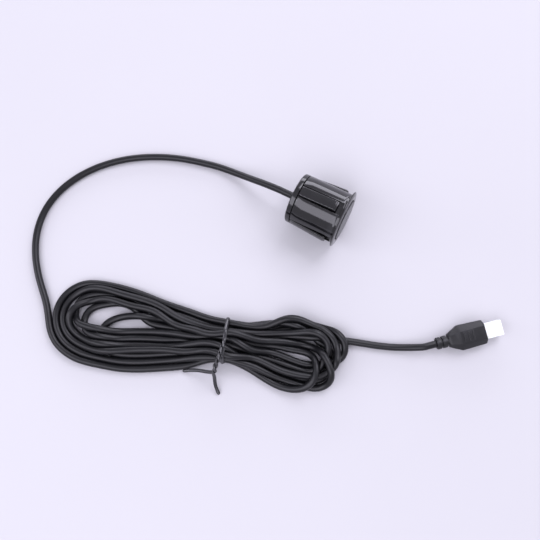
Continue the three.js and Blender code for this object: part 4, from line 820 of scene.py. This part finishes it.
local = (np.array(cord_line[:, :2]) - TIE_AT) @ np.array([[math.cos(TIE_TURN), -math.sin(TIE_TURN)], [math.sin(TIE_TURN), math.cos(TIE_TURN)]])
near = [(float(p[1]), float(z)) for p, z in zip(local, cord_line[:, 2]) if abs(p[0]) < 0.95 and abs(p[1]) < 14]
ROPE = 0.36                                      # half thickness of the tie
ring_pts = hull([(y + (R0 + ROPE + 0.03) * math.cos(a), z + (R0 + ROPE + 0.03) * math.sin(a))
                 for y, z in near for a in (2 * math.pi * k / 40 for k in range(40))])
loop = np.array(ring_pts + ring_pts[:1])
ls = np.concatenate([[0], np.cumsum(np.linalg.norm(np.diff(loop, axis=0), axis=1))])
even = np.linspace(0, ls[-1], 161)[:-1]
loop = np.stack([np.interp(even, ls, loop[:, 0]), np.interp(even, ls, loop[:, 1])], 1)
START_Y = -2.2
top_i = max((i for i in range(len(loop)) if loop[i, 1] > 5.0), key=lambda i: -abs(loop[i, 0] - START_Y))
loop = np.roll(loop, -top_i, axis=0)             # from the twist's foot; the hull runs anticlockwise: over the top to -y' first
loop = loop[::-1]                                # now over the top to the far side, under, and back up the near side
TOP = float(loop[:, 1].max())
axis_pts = np.array([(-0.15, START_Y - 0.3, TOP + 0.75), (-0.45, -4.2, TOP + 0.95), (-1.0, -6.8, TOP + 1.0), (-1.55, -9.4, TOP + 0.6),
                     (-1.95, -11.6, TOP - 0.7), (-2.1, -12.9, TOP - 2.1)])
axis, axis_len = smooth_line(axis_pts, 0.14)
at = np.gradient(axis, axis=0)
at /= np.linalg.norm(at, axis=1, keepdims=True)


def strand(phase, turns=2.3, offset=0.56):
    pts, wide = [], []
    for i in range(len(axis)):
        t = i / (len(axis) - 1)
        a = phase + turns * 2 * math.pi * t
        side = np.cross(at[i], (0, 0, 1.0))
        side /= np.linalg.norm(side)
        upv = np.cross(side, at[i])
        out = math.cos(a) * side + math.sin(a) * upv
        pts.append(axis[i] + out * offset)
        wide.append(np.cross(at[i], out))
    return pts, wide


sa, wa = strand(math.radians(120))
sb, wb = strand(math.radians(300))
tail_a = [(-3.6, -13.0, 5.9), (-5.9, -12.9, 4.6), (-8.9, -12.75, 3.2), (-12.2, -12.95, 1.8), (-15.1, -13.5, 0.75)]
tail_b = [(-2.0, -14.6, 5.2), (-1.8, -16.0, 3.6), (-1.3, -17.8, 2.1), (-0.5, -19.4, 1.1), (0.35, -20.8, 0.62)]
tail_a, _ = smooth_line([tuple(sa[-1])] + tail_a, 0.3)
tail_b, _ = smooth_line([tuple(sb[-1])] + tail_b, 0.3)
path, wide, twisted = [], [], []
for p in tail_a[::-1][:-1]:
    path.append(p), wide.append((0.35, 1, 0.2)), twisted.append(0.0)
path += sa[::-1]
wide += wa[::-1]
twisted += [1.0] * len(sa)
for y, z in loop[3:-3]:
    path.append(np.array((0.10, y, z))), wide.append((1.0, 0, 0)), twisted.append(0.0)
path += sb
wide += wb
twisted += [1.0] * len(sb)
for p in tail_b[1:]:
    path.append(p), wide.append((1, 0.3, 0)), twisted.append(0.0)
path, wide = np.array(path, float), np.array(wide, float)
twisted = np.convolve(np.pad(twisted, 6, mode="edge"), np.ones(13) / 13, mode="valid")
# the width direction has no sign: keep it turning the short way, then ease both over the joins
for i in range(1, len(wide)):
    if np.dot(wide[i], wide[i - 1]) < 0:
        wide[i] = -wide[i]
for _ in range(5):
    path[1:-1] = path[1:-1] * 0.5 + (path[:-2] + path[2:]) * 0.25
    wide[1:-1] = wide[1:-1] * 0.4 + (wide[:-2] + wide[2:]) * 0.3
tt = np.gradient(path, axis=0)
tt /= np.linalg.norm(tt, axis=1, keepdims=True)
rings = []
for i in range(len(path)):
    w = wide[i] - tt[i] * wide[i].dot(tt[i])
    w /= np.linalg.norm(w)
    b = np.cross(tt[i], w)
    end = min(i, len(path) - 1 - i)
    share = (0.35, 0.75, 0.93, 1.0)[min(end, 3)]
    # a flat coating swelling over its wire
    ring = []
    for k in range(22):
        a = 2 * math.pi * k / 22
        c, s = math.cos(a), math.sin(a)
        half_w = 0.70 - 0.12 * twisted[i]
        thick = 0.24 + (0.12 + 0.10 * twisted[i]) * math.exp(-(c * half_w / 0.36) ** 2)
        ring.append(tuple(path[i] + share * (half_w * c * w + thick * math.copysign(abs(s) ** 0.8, s) * b)))
    rings.append(ring)
v, f = skin(rings)
tie = build("twist_tie_fine", v, f, M["tie"], TIE, sharp=70)
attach(tie, "probe")
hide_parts("twist_tie")

# ------------------------------------------------------------------ what stays as the CAD made it, inside the probe and the plug
for name, key in {
    "piezo_disc": "ceramic", "damping_pad": "foam", "can_filler": "filler", "transducer_lead_signal": "core_red",
    "transducer_lead_ground": "core_black", "splice_sleeve_signal": "shrink", "splice_sleeve_ground": "shrink",
    "cord_core_signal": "core_red", "cord_core_ground": "core_white", "rear_potting": "epoxy", "cord_entry": "jacket_in",
    "plug_core_signal": "core_red", "plug_core_ground": "core_white", "crimp_contact_signal": "contact", "crimp_contact_ground": "contact",
}.items():
    nodes[name].data.materials.clear()
    nodes[name].data.materials.append(M[key])

# ------------------------------------------------------------------ studio: pale floor, soft lights
floor_mat = material("paper_floor", (0.515, 0.510, 0.530), (0.505, 0.500, 0.520), (0.75, 0.85), grain=700, bump=0.03, blotch=6, specular=0.2)
me = bpy.data.meshes.new("floor")
me.from_pydata([(-3, -3, 0), (3, -3, 0), (3, 3, 0), (-3, 3, 0)], [], [(0, 1, 2, 3)])
me.materials.append(floor_mat)
floor = bpy.data.objects.new("floor", me)
scene.collection.objects.link(floor)

world = bpy.data.worlds.new("studio")
scene.world = world
world.use_nodes = True
bg = world.node_tree.nodes["Background"]
bg.inputs["Color"].default_value = (0.90, 0.88, 1.0, 1)
bg.inputs["Strength"].default_value = 0.72


def softbox(name, at, aim, size, watts, colour=(0.90, 0.88, 1.0)):
    data = bpy.data.lights.new(name, "AREA")
    data.shape, data.size, data.size_y, data.energy, data.color = "RECTANGLE", size[0], size[1], watts, colour
    ob = bpy.data.objects.new(name, data)
    scene.collection.objects.link(ob)
    ob.location = at
    ob.rotation_euler = (Vector(aim) - Vector(at)).to_track_quat("-Z", "Y").to_euler()
    return ob


middle = Vector((-0.01, -0.045, 0))


def from_middle(right, away, up):
    return middle + RIGHT * right + AWAY * away + Vector((0, 0, up))


softbox("softbox_near", (-0.09, -0.42, 0.50), middle, (0.90, 0.40), 3.6)
softbox("softbox_key", from_middle(0.35, 0.45, 0.65), middle, (0.50, 0.50), 4.2)
softbox("softbox_far", from_middle(0.0, 0.75, 0.18), middle, (0.90, 0.25), 3.0)
softbox("softbox_left", from_middle(-0.75, 0.05, 0.35), middle, (0.22, 0.60), 1.2)
softbox("softbox_right", from_middle(0.75, 0.10, 0.35), middle, (0.22, 0.60), 1.2)
scene.view_settings.view_transform = "Standard"
